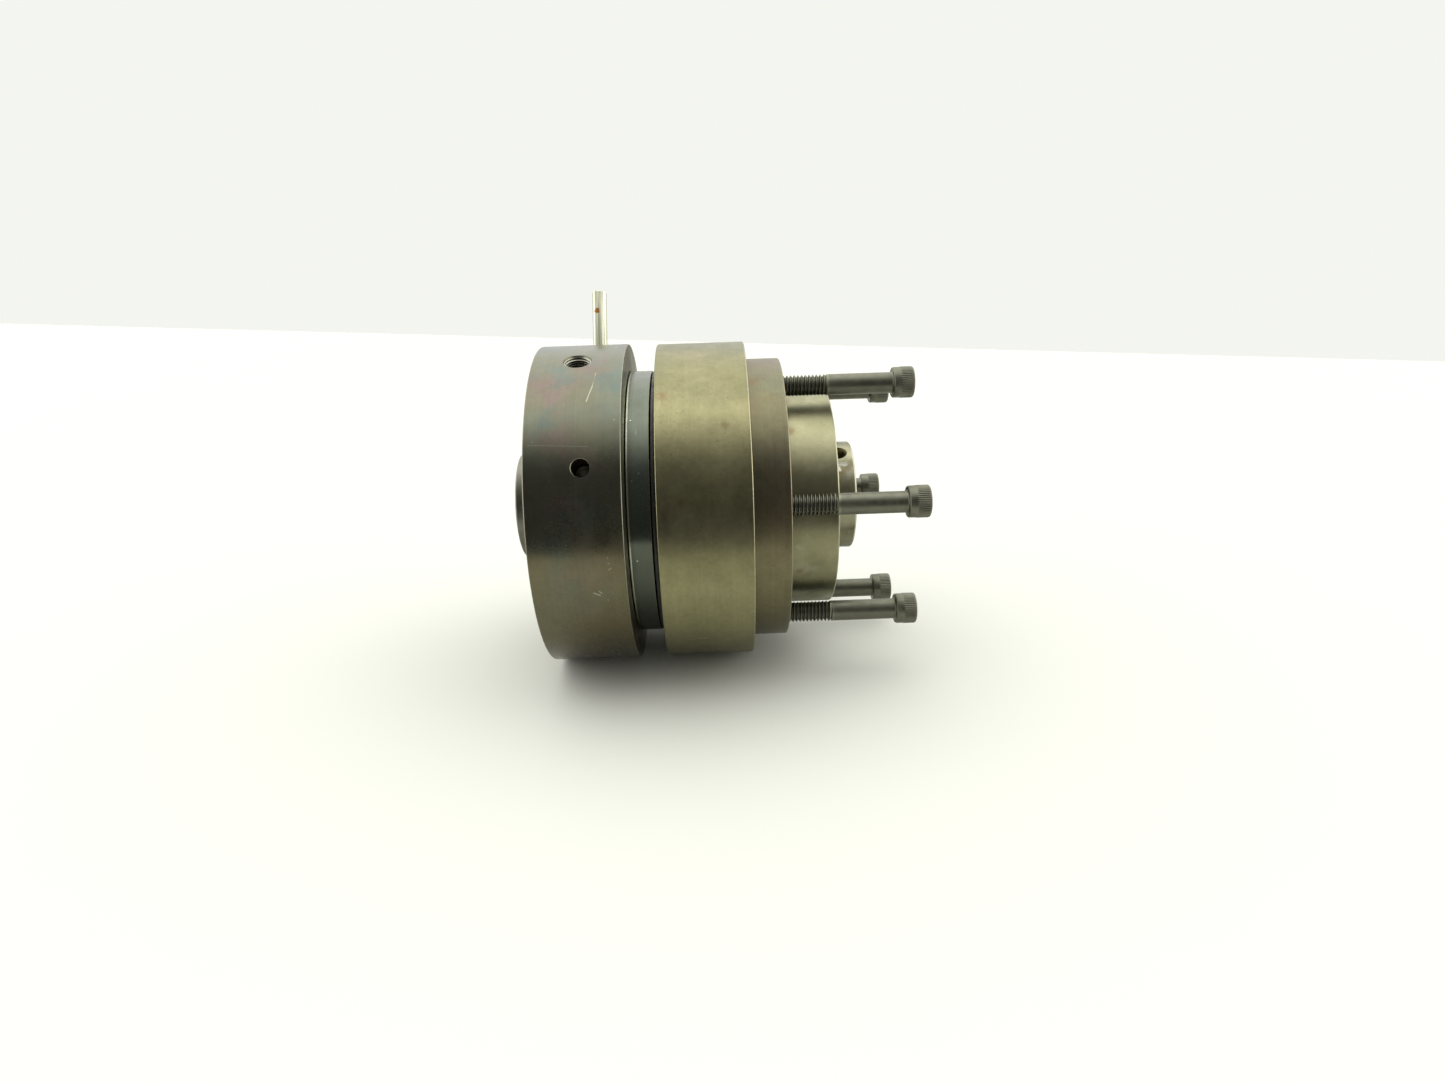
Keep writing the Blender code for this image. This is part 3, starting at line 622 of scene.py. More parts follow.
def rubber(name, seed):
    f = Finish(name, seed)
    dust = f.step(f.noise(380, 5.0, 0.7), 0.5, 0.78)
    colour = f.mix(dust, (0.012, 0.012, 0.011), (0.05, 0.048, 0.04))
    roughness = f.step(f.noise(160, 4.0, 0.6, shift=2.0), 0.3, 0.7, 0.38, 0.6)
    f.bump((f.noise(900, 4.0, 0.6, shift=1.0), 0.03), (f.turning(0.5 * MM), 0.01))
    return f.done(colour, roughness, 0.0)


def painted_shade_hole_steel(name, seed, tint=(0.10, 0.095, 0.065)):
    """The inside of a hole: painted dark as the shade inside it, with patches of grime and oily
    roughness.
    """
    f = Finish(name, seed)
    grime = f.step(f.noise(500, 4.0, 0.65), 0.35, 0.7)
    colour = f.mix(grime, tint, tuple(0.35 * c for c in tint))
    roughness = f.step(f.noise(240, 3.0, 0.6, shift=2.0), 0.3, 0.7, 0.35, 0.62)
    f.bump((f.noise(1200, 3.0, 0.6, shift=1.0), 0.02))
    return f.done(colour, roughness, 1.0)


def oxide(name, seed, radius, length, head, height, threaded):
    """Black oxide on a screw, rubbed on the crests of its thread."""
    f = Finish(name, seed)
    base = f.mix(f.step(f.noise(260, 4.0, 0.6), 0.35, 0.68), (0.142, 0.142, 0.110),
                 (0.122, 0.124, 0.097))
    crest = f.times(f.step(f.r, radius * 0.965, radius * 1.0),
                    f.step(f.x, threaded, threaded + 1 * MM, 1.0, 0.15))
    patch = f.step(f.noise(110, 4.0, 0.6, shift=5.0), 0.56, 0.72)
    wear_and_highlight = f.most([f.times(crest, 0.8), f.times(patch, 0.1),
                   f.times(f.rim(length + height, head * 0.97, 0.4 * MM), 0.6)])
    colour = f.mix(f.times(wear_and_highlight, 0.75), base, (0.30, 0.29, 0.21))
    dust = f.step(f.noise(900, 5.0, 0.7, shift=8.0), 0.56, 0.74)
    colour = f.mix(f.times(dust, 0.2), colour, (0.20, 0.18, 0.12))
    roughness = f.plus(f.step(f.noise(330, 4.0, 0.6, shift=3.0), 0.3, 0.7, 0.36, 0.5),
                       f.times(dust, 0.15))
    f.bump((f.noise(1400, 4.0, 0.6, shift=1.0), 0.004), (f.noise(500, 3.0, 0.6), 0.006))
    return f.done(colour, roughness, 1.0)


# ---------------------------------------------------------------- fasteners

def cap_screw(name, length, shank, head, height, pitch, threaded, socket, depth, teeth, sides,
              knurl):
    """A socket head cap screw along X, from its tip at 0 to the top of its head."""
    turn, ring = circle(sides)
    nose = 0.9 * pitch  # length of the taper at the tip
    rows = [ring * 0.0, ring * (shank - 0.9 * nose)]
    for k in range(-1, int(threaded / pitch) + 2):
        for share, deep in ((0.0, 0.0), (0.125, 0.0), (0.479, 1.0), (0.646, 1.0)):
            x = np.clip(pitch * (k + share + turn / TAU), 0.0, threaded)
            fade = np.clip((threaded - x) / (1.3 * pitch), 0.0, 1.0)
            r = shank - 0.61 * pitch * deep * np.sqrt(fade)
            r = np.minimum(r, shank - 0.9 * np.maximum(nose - x, 0.0))
            rows.append(ring * r[:, None] + np.stack([x, 0 * x, 0 * x], 1))
    fillet = 0.14 * shank
    for k in range(5):
        a = math.pi / 2 * k / 4
        rows.append(ring * (shank + fillet * (1 - math.cos(a)))
                    + np.array([length - fillet + fillet * math.sin(a), 0, 0]))
    rows.append(ring * 0.0 + np.array([length, 0, 0]))
    stem = grid_mesh(name, rows)

    turn, ring = circle(4 * teeth)
    tooth = np.tile([1.0, 0.35, 0.0, 0.35], teeth)
    hexagon = math.cos(math.pi / 6) / np.cos((turn % (TAU / 6)) - math.pi / 6)
    curve = 0.09 * height
    plan = [  # place, radius, knurl, how far towards the hexagon
        (0.0, 0.0, 0, 0), (0.0, shank, 0, 0), (0.0, 0.93 * head, 0, 0),
        (0.02 * height, 0.955 * head, 0, 0), (0.05 * height, 0.975 * head, 0, 0),
        (0.32 * height, 0.98 * head, 0, 0), (0.36 * height, 0.988 * head, 0.2, 0),
        (0.4 * height, head, 1, 0), (height - 1.9 * curve, head, 1, 0),
        (height - curve, head, 0.8, 0), (height - 0.62 * curve, head - 0.08 * curve, 0.5, 0),
        (height - 0.29 * curve, head - 0.29 * curve, 0.2, 0),
        (height - 0.08 * curve, head - 0.62 * curve, 0, 0), (height, head - curve, 0, 0),
        (height, 1.13 * socket, 0, 0), (0.98 * height, 1.08 * socket, 0, 0),
        (0.95 * height, socket, 0, 1), (height - depth, socket, 0, 1),
        (0.98 * height - depth, 0.8 * socket, 0, 0.5), (0.88 * height - depth, 0.0, 0, 0),
    ]
    rows = []
    for x, r, rough, six in plan:
        shape = r * (1 - six + six * hexagon) - knurl * rough * tooth
        rows.append(ring * shape[:, None] + np.array([length + x, 0, 0]))
    return shade_by_angle(join(name, [stem, grid_mesh(name, rows)]), 40)


def threaded_sleeve(name, radius, pitch, depth, outside, sides=96):
    """The inside thread of a hole along X, from x = -depth to 0, as a thin sleeve."""
    turn, ring = circle(sides)
    shift = np.array([1.0, 0.0, 0.0])
    rows = [ring * outside, ring * (radius + 0.02 * MM)]
    for k in range(-1, int(depth / pitch) + 1):
        for share, deep in ((0.0, 1.0), (0.15, 1.0), (0.5, 0.0), (0.65, 0.0)):
            x = np.clip(pitch * (k + share + turn / TAU), 0.0, depth)
            fade = np.clip(np.minimum(x, depth - x) / (0.8 * pitch), 0.0, 1.0)
            r = radius - 0.58 * pitch * deep * fade
            rows.append(ring * r[:, None] - x[:, None] * shift)
    rows += [ring * outside - depth * shift, ring * outside]
    return shade_by_angle(grid_mesh(name, rows), 25)


# ---------------------------------------------------------------- the stationary air ring

ring_front, ring_rear = span("air_ring")
ring_radius = radii("air_ring")[1]
rod_angle = angle_of("anti_rotation_rod")
rod_x = centre("anti_rotation_rod").x
port_angle = rod_angle - math.radians(45)
port_x = (ring_front + ring_rear) / 2 - 0.125 * MM
port_out = radial(port_angle)
passage = radial(port_angle, 0, port_x)  # where the port's axis meets the spindle's
bearing_seat = radii("front_outer_race")[1] + GAP


def make_air_ring():
    rib, gallery, half_gallery = 41.0 * MM, 45.0 * MM, 1.7 * MM
    recess = radii("front_cover")[1] + GAP
    floor = span("front_cover")[1] + GAP
    spacer_front, spacer_rear = span("bearing_spacer")
    outline = rounded([
        (ring_front, recess, 0.15), (ring_front, ring_radius, EDGE),
        (ring_rear, ring_radius, EDGE), (ring_rear, bearing_seat, 0.3),
        (spacer_rear, bearing_seat), (spacer_rear, rib, 0.3), (port_x + half_gallery, rib),
        (port_x + half_gallery, gallery), (port_x - half_gallery, gallery),
        (port_x - half_gallery, rib), (spacer_front, rib, 0.3), (spacer_front, bearing_seat),
        (floor, bearing_seat), (floor, recess),
    ])
    port = radial(port_angle, ring_radius, port_x)
    bore = 4.6  # of the port, in millimetres
    bits = [drill_bit(port, port_out, [(-10.9, 0), (-10.9, bore), (-1.0, bore + 0.02),
                                       (-0.05, 5.4), (2, 7.2), (2, 0)], 96),
            bore_bit(port, port_out, 1.5, -22, -8, 48)]
    for k in range(4):
        angle = rod_angle + TAU * k / 4
        bits.append(hole_bit(radial(angle, ring_radius, rod_x), radial(angle), 3.3, 11.9, 0.28))
    for k in range(4):
        place = radial(math.radians(45) + TAU * k / 4, 47 * MM, floor)
        bits.append(hole_bit(place, FORWARD, 1.8, 6.0, 0.1, sides=40))
    # the rear face's lighter tint is a painted highlight, the lower tint is painted shade and
    # reflected floor light, and the near-black hole finish is painted shade
    look = steel(
        "ring_steel", 1.0, [(0.132, 0.143, 0.112), (0.150, 0.142, 0.098), (0.161, 0.132, 0.110),
                            (0.117, 0.139, 0.122)],
        0.25, worn_and_lit_rims=[(ring_front, ring_radius, 0.35), (ring_rear, ring_radius, 0.4)],
        bright=(0.31, 0.30, 0.23),
        lines=[scratch(ring_radius, *line) for line in (
            ((64, -69.4), (57, -70.2), 0.16), ((57, -70.2), (50.5, -72), 0.3),
            ((35, -92), (34, -71), 0.10), ((-14, -71.8), (-15, -69.6), 0.32),
            ((-13.4, -69.8), (-14.2, -68.9), 0.26))]
        + [nick(ring_radius, *place) for place in (
            (-1.5, -65.8), (-3.5, -65.6), (-5.6, -65.7), (-5.2, -65.1), (-17, -67.0),
            (16.5, -80.7), (12.5, -69.8), (25.5, -72.0), (36, -90.5), (43, -62.0))],
        mottle=0.16, specks=0.05, marks=0.35, scratches=0.5, patch=22.0,
        painted_lower_tint=(0.131, 0.114, 0.065), ends=[(ring_rear, (0.200, 0.186, 0.118))])
    show_turned("air_ring", outline, look, bits,
                painted_shade_hole_steel("ring_hole_steel", 2.0, (0.030, 0.028, 0.020)))

    sleeve = threaded_sleeve("port_thread", (bore + 0.1) * MM, 0.941 * MM, 9.6 * MM,
                             (bore + 0.45) * MM)
    bare = steel("thread_steel", 3.0, [(0.36, 0.35, 0.29), (0.26, 0.25, 0.20)], 0.3, mottle=0.5)
    add_piece("port_thread", sleeve, "air_ring_assembly", [bare],
              aim(port - port_out * 0.55 * MM, port_out))


# ---------------------------------------------------------------- neck, wiper, body, plate

def make_collar():
    front, rear = span("neck_collar")
    bore, radius = radii("rear_inner_race")[0], radii("neck_collar")[1]
    face = ring_rear + 0.45 * MM
    spigot = 36.2 * MM
    end = span("wiper_seal")[0] - GAP
    step = radii("wiper_seal")[0] - GAP
    outline = rounded([
        (front, bore, 0.2), (front, spigot, 0.2), (face, spigot), (face, radius, 0.12),
        (end, radius, 0.25), (end, step), (rear, step, 0.2), (rear, bore, 0.2),
    ])
    bits = []
    for place in on_axes("collar_screw", 3, face):
        bits.append(hole_bit(place, FORWARD, 3.6, 4.6, 0.15, False, 48))
        bits.append(bore_bit(place, FORWARD, 2.3, -14, -4))
    # the bright rubbed rims here are painted edge highlights, and the darker lower tint is painted
    # shade
    look = steel(
        "collar_steel", 4.0, [(0.118, 0.134, 0.108), (0.130, 0.142, 0.118), (0.108, 0.118, 0.090)],
        0.22, worn_and_lit_rims=[(face + 0.25 * MM, radius, 0.42), (end, radius, 0.22)],
        bright=(0.62, 0.64, 0.52), rim_wear_and_highlight=0.9,
        lines=[nick(radius, *place) for place in ((50, -57.4), (27, -54.5), (24, -57.0),
                                                  (-8, -56.5))],
        mottle=0.12, specks=0.25, marks=0.45, scratches=0.35, patch=18.0,
        painted_lower_tint=(0.076, 0.084, 0.067))
    show_turned("neck_collar", outline, look, bits, painted_shade_hole_steel("collar_hole_steel", 4.5))


def make_wiper():
    front, rear, bore, radius = sizes("wiper_seal")
    lip = rounded([
        (front, bore, 0.2), (front, radius - 0.1 * MM, 0.75), ((front + rear) / 2, radius, 0.7),
        (rear, radius - 0.15 * MM, 0.7), (rear, bore, 0.2),
    ], 6)
    show_turned("wiper_seal", lip, rubber("wiper_rubber", 5.0))


def groove_for(node):
    """The front and rear walls of the groove that a ring lies in."""
    front, rear = span(node)
    return front - GAP, rear + GAP


def make_body():
    front, rear = span("chuck_body")
    radius = radii("chuck_body")[1]
    shoulder = span("wiper_seal")[1] + GAP
    sleeve = radii("bearing_spacer")[0] - GAP
    tube = radii("draw_tube_seal")[0] + 0.05 * MM
    nose_bore = radii("nose_piece")[1] + GAP
    nose_floor = span("nose_piece")[1] + GAP
    snap_front, snap_rear = groove_for("bearing_snap_ring")
    snap_bore = radii("bearing_snap_ring")[0] - GAP
    seal_front, seal_rear = groove_for("draw_tube_seal")
    seal_radius = radii("draw_tube_seal")[1] + GAP
    cylinder = radii("piston")[1] + GAP
    cylinder_front = span("piston")[0] - 1.0 * MM
    outline = rounded([
        (rear, cylinder, 0.3), (rear, radius, EDGE), (shoulder, radius, EDGE),
        (shoulder, sleeve, 0.3), (snap_rear, sleeve), (snap_rear, snap_bore),
        (snap_front, snap_bore), (snap_front, sleeve), (front, sleeve, 0.4),
        (front, nose_bore, 0.3), (nose_floor, nose_bore), (nose_floor, tube, 0.3),
        (seal_front, tube), (seal_front, seal_radius), (seal_rear, seal_radius),
        (seal_rear, tube), (cylinder_front, tube, 0.3), (cylinder_front, cylinder, 0.4),
    ])
    bits = []
    for name, count, x, outward, radius_mm, depth, mouth, sides in (
            ("mounting_screw", 6, rear, REARWARD, 4.3, 9.0, 0.4, 56),
            ("body_screw", 3, rear, REARWARD, 2.6, 12.0, 0.2, 40),
            ("dowel_pin", 2, rear, REARWARD, 3.15, 7.0, 0.2, 40),
            ("collar_screw", 3, shoulder, FORWARD, 2.3, 6.4, 0.2, 40)):
        bits += [hole_bit(place, outward, radius_mm, depth, mouth, sides=sides)
                 for place in on_axes(name, count, x)]
    bits.append(bore_bit(passage, port_out, 1.45, 27, 34, 32))
    bits.append(bore_bit(radial(port_angle, 27 * MM, port_x - 1.4 * MM), REARWARD, 1.45, 0, 38, 32))
    # the belts are painted reflections, pale bands high and low and a dark band across the middle,
    # and the paler lower tint is painted reflected floor light
    look = steel(
        "body_steel", 6.0, [(0.205, 0.192, 0.104), (0.172, 0.166, 0.092), (0.232, 0.208, 0.118)],
        0.33, worn_and_lit_rims=[(rear, radius, 0.5), (shoulder, radius, 0.3)], bright=(0.42, 0.39, 0.26),
        lines=[scratch(radius, (-41, -25), (-42.5, -23.6), 0.16),
               scratch(radius, (-40.6, -39.0), (-40.0, -32.0), 0.30)],
        mottle=0.30, specks=0.7, marks=0.4, scratches=0.55, patch=34.0,
        painted_lower_tint=(0.226, 0.212, 0.113),
        painted_light_belts=[(15, 55, (0.287, 0.266, 0.146)), (-50, -9, (0.262, 0.246, 0.133)),
               (-8, 17, (0.165, 0.152, 0.092))],
        stains=[stain(radius, 52, shoulder + 3 * MM, 2.2),
                stain(radius, 15, shoulder + 9 * MM, 1.6), stain(radius, 40, rear - 9 * MM, 1.5)])
    show_turned("chuck_body", outline, look, bits,
                painted_shade_hole_steel("body_hole_steel", 6.5, (0.16, 0.15, 0.09)))


def make_plate():
    front, rear, bore, radius = sizes("back_plate")
    boss = radii("body_seal")[1]
    face = span("chuck_body")[1] + GAP
    recess = radii("spindle_pilot")[1] + GAP
    groove_front, groove_rear = groove_for("body_seal")
    groove = radii("body_seal")[0] - GAP
    outline = rounded([
        (rear - GAP, bore, 0.3), (rear - GAP, recess), (rear, recess, 0.1), (rear, radius, 0.5),
        (face, radius, 0.12), (face, boss), (groove_rear, boss), (groove_rear, groove),
        (groove_front, groove), (groove_front, boss), (front, boss, 0.3), (front, bore, 0.3),
    ])
    bits = [hole_bit(place, REARWARD, 4.3, 20.0, 0.35, False, 64)
            for place in on_axes("mounting_screw", 6, rear)]
    for bolt, pilot, spring in zip(on_axes("body_screw", 3, rear),
                                   on_axes("pilot_screw", 3, rear - GAP),
                                   on_axes("return_spring", 3, front)):
        bits += [hole_bit(bolt, REARWARD, 4.4, 5.4, 0.2, False, 56),
                 bore_bit(bolt, REARWARD, 2.6, -20, -5),
                 hole_bit(pilot, REARWARD, 2.3, 7.6, 0.2, sides=40),
                 hole_bit(spring, FORWARD, 4.8, 4.9, 0.2, False, 48)]
    bits += [hole_bit(place, FORWARD, 3.15, 7.4, 0.15, sides=40)
             for place in on_axes("dowel_pin", 2, face)]
    # the paler lower tint is painted reflected floor light
    look = steel(
        "plate_steel", 7.0, [(0.150, 0.138, 0.083), (0.152, 0.122, 0.078), (0.142, 0.140, 0.092)],
        0.34, worn_and_lit_rims=[(rear, radius, 0.4)], bright=(0.34, 0.31, 0.21),
        mottle=0.26, specks=0.6, marks=0.5, scratches=0.4, patch=30.0,
        painted_lower_tint=(0.166, 0.150, 0.084),
        stains=[stain(radius, 82, face + 1.5 * MM, 4.0), stain(radius, 66, face + 1.0 * MM, 3.0),
                stain(radius, 24, rear - 1.0 * MM, 2.0)])
    show_turned("back_plate", outline, look, bits, painted_shade_hole_steel("plate_hole_steel", 7.5))


# ---------------------------------------------------------------- pilot, draw tube, rod

def make_pilot():
    front, rear, bore, radius = sizes("spindle_pilot")
    face = span("back_plate")[1]
    neck = 30.0 * MM
    seal_front, seal_rear = groove_for("pilot_seal")
    groove = radii("pilot_seal")[1] + GAP
    outline = rounded([
        (rear, bore, 0.35), (rear, radius, 0.75), (face, radius, 0.2), (face, neck, 0.2),
        (front, neck, 0.4), (front, bore, 0.3), (seal_front, bore), (seal_front, groove),
        (seal_rear, groove), (seal_rear, bore),
    ])
    bits = []
    for place in on_axes("pilot_screw", 3, rear):
        bits.append(hole_bit(place, REARWARD, 3.9, 5.1, 0.2, False, 56))
        bits.append(bore_bit(place, REARWARD, 2.4, -20, -5))
    # the belts are painted reflections: a pale band high up and a dark band across the middle
    look = steel(
        "bright_steel", 8.0, [(0.262, 0.252, 0.150), (0.205, 0.198, 0.116), (0.300, 0.290, 0.190)],
        0.36, worn_and_lit_rims=[(rear, radius, 0.5), (face, radius, 0.25)], bright=(0.50, 0.48, 0.35),
        mottle=0.22, specks=0.5, marks=0.2, scratches=0.6, patch=42.0,
        painted_light_belts=[(14, 40, (0.345, 0.325, 0.200)), (-12, 15, (0.180, 0.170, 0.104))],
        stains=[stain(radius, 74, face + 0.5 * MM, 2.6), stain(radius, 60, face + 0.5 * MM, 2.4),
                stain(radius, 50, face + 1.5 * MM, 2.0), stain(radius, -25, face + 4.0 * MM, 1.6)])
    show_turned("spindle_pilot", outline, look, bits,
                painted_shade_hole_steel("pilot_hole_steel", 8.5, (0.2, 0.19, 0.12)))


def make_draw_tube():
    front, rear = span("draw_tube")
    radius = radii("draw_tube")[1]
    bore, collet_bore = 13.6 * MM, 16.2 * MM
    collet_rear = span("collet")[1] + GAP
    neck = radii("piston")[0] - GAP
    shoulder = span("piston")[1] + GAP
    snap_front, snap_rear = groove_for("piston_snap_ring")
    groove = radii("piston_snap_ring")[0] - GAP
    outline = rounded([
        (rear, bore, 0.6), (rear, radius, 1.05), (shoulder, radius, 0.3), (shoulder, neck),
        (snap_rear, neck), (snap_rear, groove), (snap_front, groove), (snap_front, neck),
        (front, neck, 0.4), (front, collet_bore, 0.4), (collet_rear, collet_bore),
        (collet_rear, bore),
    ])
    spanner_x = rear - 6.5 * MM
    angle = math.radians(66)
    hole = 2.5
    bit = drill_bit(radial(angle, radius, spanner_x), radial(angle),
                    [(-12, 0), (-12, hole), (-1.5, hole), (-0.1, hole + 1.4), (1.5, hole + 3.2),
                     (1.5, 0)])
    scar = radial(math.radians(50), radius, spanner_x - 1.0 * MM)
    look = steel(
        "hub_steel", 9.0, [(0.300, 0.288, 0.196), (0.225, 0.215, 0.130), (0.340, 0.330, 0.240)],
        0.34, worn_and_lit_rims=[(rear, radius, 0.8)], bright=(0.52, 0.51, 0.42),
        lines=[(scar, radial(math.radians(49), radius, spanner_x + 2.6 * MM), 1.3 * MM),
               (scar, radial(math.radians(42), radius, spanner_x + 0.2 * MM), 0.9 * MM)],
        mottle=0.26, specks=0.7, marks=0.3, scratches=0.8, patch=60.0,
        stains=[stain(radius, 40, spanner_x + 0.5 * MM, 2.0),
                stain(radius, 45, spanner_x + 3.5 * MM, 1.4)])
    show_turned("draw_tube", outline, look, [bit],
                painted_shade_hole_steel("hub_hole_steel", 9.5, (0.13, 0.12, 0.085)))


def make_rod():
    out = radial(rod_angle)
    middle = np.array(radial(rod_angle, 0, rod_x))
    along = (points_of("anti_rotation_rod") - middle) @ np.array(out)
    foot, tip = along.min(), along.max() - 0.15 * MM
    radius, length = 3.0 * MM, tip - foot
    outline = rounded([(0, 0), (0, radius, 0.6), (length, radius, 0.55), (length, 0)])
    place = aim(radial(rod_angle, foot, rod_x), out)
    mesh = shade_by_angle(spin("anti_rotation_rod", outline, 96, place), 40)
    f = Finish("rod_steel", 10.0, place)
    streak = f.noise(520, 4.0, 0.65, stretch=(0.03, 1.6, 1.6))
    colour = f.mix(f.step(streak, 0.40, 0.60), (0.64, 0.64, 0.51), (0.29, 0.30, 0.20))
    dirt = f.step(f.noise(120, 5.0, 0.65, shift=3.0, stretch=(0.4, 1, 1)), 0.5, 0.72)
    colour = f.mix(f.times(dirt, 0.5), colour, (0.22, 0.19, 0.11))
    side = Vector((-0.2, -1.0, 0.0))
    side = (side - out * side.dot(out)).normalized()
    spot = place.inverted() @ (radial(rod_angle, foot + 30.5 * MM, rod_x) + side * radius)
    ragged = f.times(f.noise(800, 5.0, 0.75, shift=6.0), 3.2 * MM)
    away = f.plus(f.vector("DISTANCE", f.coords, tuple(spot)), ragged)
    rust = f.step(away, 2.5 * MM, 3.1 * MM, 1.0, 0.0)
    colour = f.mix(rust, colour, (0.30, 0.13, 0.05))
    roughness = f.plus(f.step(streak, 0.3, 0.7, 0.38, 0.5), f.times(rust, 0.2))
    f.bump((streak, 0.02), (f.noise(900, 4.0, 0.6, shift=1.0), 0.006))
    show("anti_rotation_rod", mesh, f.done(colour, roughness, 1.0))


def make_mounting_screws():
    shank, head, height, threaded = 3.97 * MM, 5.95 * MM, 7.94 * MM, 25.8 * MM
    for k in range(6):
        node = f"mounting_screw_{k + 1}"
        front, rear = span(node)
        length = rear - front - height
        mesh = cap_screw(node, length, shank, head, height, 1.411 * MM, threaded, 3.67 * MM,
                         3.9 * MM, 48, 72, 0.2 * MM)
        look = oxide(f"screw_oxide_{k + 1}", 11.0 + k, shank, length, head, height, threaded)
        place = Matrix.Translation((front, *centre(node).yz))
        show(node, mesh, look, matrix=place @ Matrix.Rotation(0.7 * k + 0.3, 4, "X"))


# ---------------------------------------------------------------- nose, collet and front cover

def make_nose():
    front, rear, bore, radius = sizes("nose_piece")
    mouth = 19.35 * MM
    taper = front + 4.8 * MM
    taper_end = taper + (mouth - bore) / math.tan(math.radians(10))
    outline = rounded([
        (front, mouth, 0.25), (front, radius, 0.8), (rear, radius, 0.4), (rear, bore, 0.3),
        (taper_end, bore, 0.5), (taper, mouth, 0.3),
    ])
    look = steel(
        "nose_steel", 20.0, [(0.170, 0.166, 0.140), (0.125, 0.122, 0.098), (0.200, 0.190, 0.150)],
        0.36, worn_and_lit_rims=[(front, radius, 0.5), (front, mouth, 0.4)], bright=(0.34, 0.33, 0.27),
        mottle=0.22, specks=0.5, marks=0.6, scratches=0.6, patch=70.0)
    show_turned("nose_piece", outline, look, sides=INNER)


def make_collet():
    front, rear, bore, head = sizes("collet")
    shank = radii("nose_piece")[0] - 0.325 * MM
    waist = shank - 0.5 * MM
    taper = front + 4.0 * MM
    taper_end = taper + (head - shank) / math.tan(math.radians(10))
    outline = rounded([
        (front, bore, 0.5), (front, head, 0.4), (taper, head, 0.3), (taper_end, shank, 0.6),
        (rear - 16 * MM, shank), (rear - 15.7 * MM, waist), (rear - 14.5 * MM, waist),
        (rear - 14.2 * MM, shank), (rear, shank, 0.6), (rear, bore, 0.3),
    ])
    slots = slot_cutters([math.pi / 2 + TAU * k / 3 for k in range(3)], front - 2 * MM,
                         front + 50 * MM, 9 * MM, 23 * MM, 1.5 * MM)
    look = steel(
        "collet_steel", 21.0, [(0.46, 0.45, 0.41), (0.38, 0.37, 0.32), (0.52, 0.51, 0.47)],
        0.2, worn_and_lit_rims=[(front, head, 0.35), (front, bore, 0.4)], bright=(0.72, 0.71, 0.66),
        mottle=0.16, specks=0.4, marks=0.6, scratches=0.6, patch=80.0)
    show_turned("collet", outline, look, slots,
                painted_shade_hole_steel("collet_slot_steel", 21.5, (0.26, 0.25, 0.21)), INNER)


def make_cover():
    front, rear, bore, radius = sizes("front_cover")
    outline = rounded([(front, bore, 0.25), (front, radius, 0.3), (rear, radius), (rear, bore)])
    bits = [drill_bit(place, FORWARD, [(-3, 0), (-3, 2.5), (-0.15, 2.5), (1, 3.7), (1, 0)], 48)
            for place in on_axes("cover_screw", 4, front)]
    look = steel(
        "cover_steel", 22.0, [(0.135, 0.138, 0.115), (0.150, 0.140, 0.098), (0.118, 0.112, 0.092)],
        0.28, worn_and_lit_rims=[(front, radius, 0.35), (front, bore, 0.35)], bright=(0.36, 0.35, 0.28),
        mottle=0.22, specks=0.5, marks=0.7, scratches=0.6, patch=60.0)
    show_turned("front_cover", outline, look, bits, painted_shade_hole_steel("cover_hole_steel", 22.5),
                INNER)


# ---------------------------------------------------------------- bearings

BALLS = 37.5 * MM  # radius of the circle that the balls' centres lie on


def make_race(node, inner, look):
    front, rear, low, high = sizes(node)
    middle = (front + rear) / 2
    side = -1.0 if inner else 1.0
    seat = low if inner else high
    land = BALLS + side * 1.8 * MM
    groove = 3.0 * MM
    reach = math.acos(1.8 / 3.0)
    arc = [(middle + groove * math.sin(reach * k / 8),
            BALLS + side * groove * math.cos(reach * k / 8)) for k in range(-8, 9)]
    outline = rounded([(front, seat, 0.6), (front, land, 0.2), *arc, (rear, land, 0.2),
                       (rear, seat, 0.6)], 4)
    show_turned(node, outline, look, sides=INNER)


def make_cage(node, steel_look, cage_look):
    front, rear = span(node)
    middle = (front + rear) / 2
    half, thick = 1.55 * MM, 0.85 * MM
    ring = hoop(middle - half, middle + half, BALLS - thick, BALLS + thick, 0.2, 0.2, 3)
    pockets, balls = [], []
    for k in range(10):
        place = Matrix.Translation(radial(TAU * k / 10, BALLS, middle))
        for radius, group in ((2.72 * MM, pockets), (2.58 * MM, balls)):
            shape = bmesh.new()
            bmesh.ops.create_uvsphere(shape, u_segments=28, v_segments=18, radius=radius,
                                      matrix=place)
            group.append(mesh_of("ball", shape, drilled=group is pockets))
    show_turned(node, ring, cage_look, pockets, sides=INNER)
    mesh = shade_by_angle(join(node + "_rollers", balls), 60)
    add_piece(node.replace("balls_and_cage", "balls"), mesh, body_of[node],
              [steel_look])


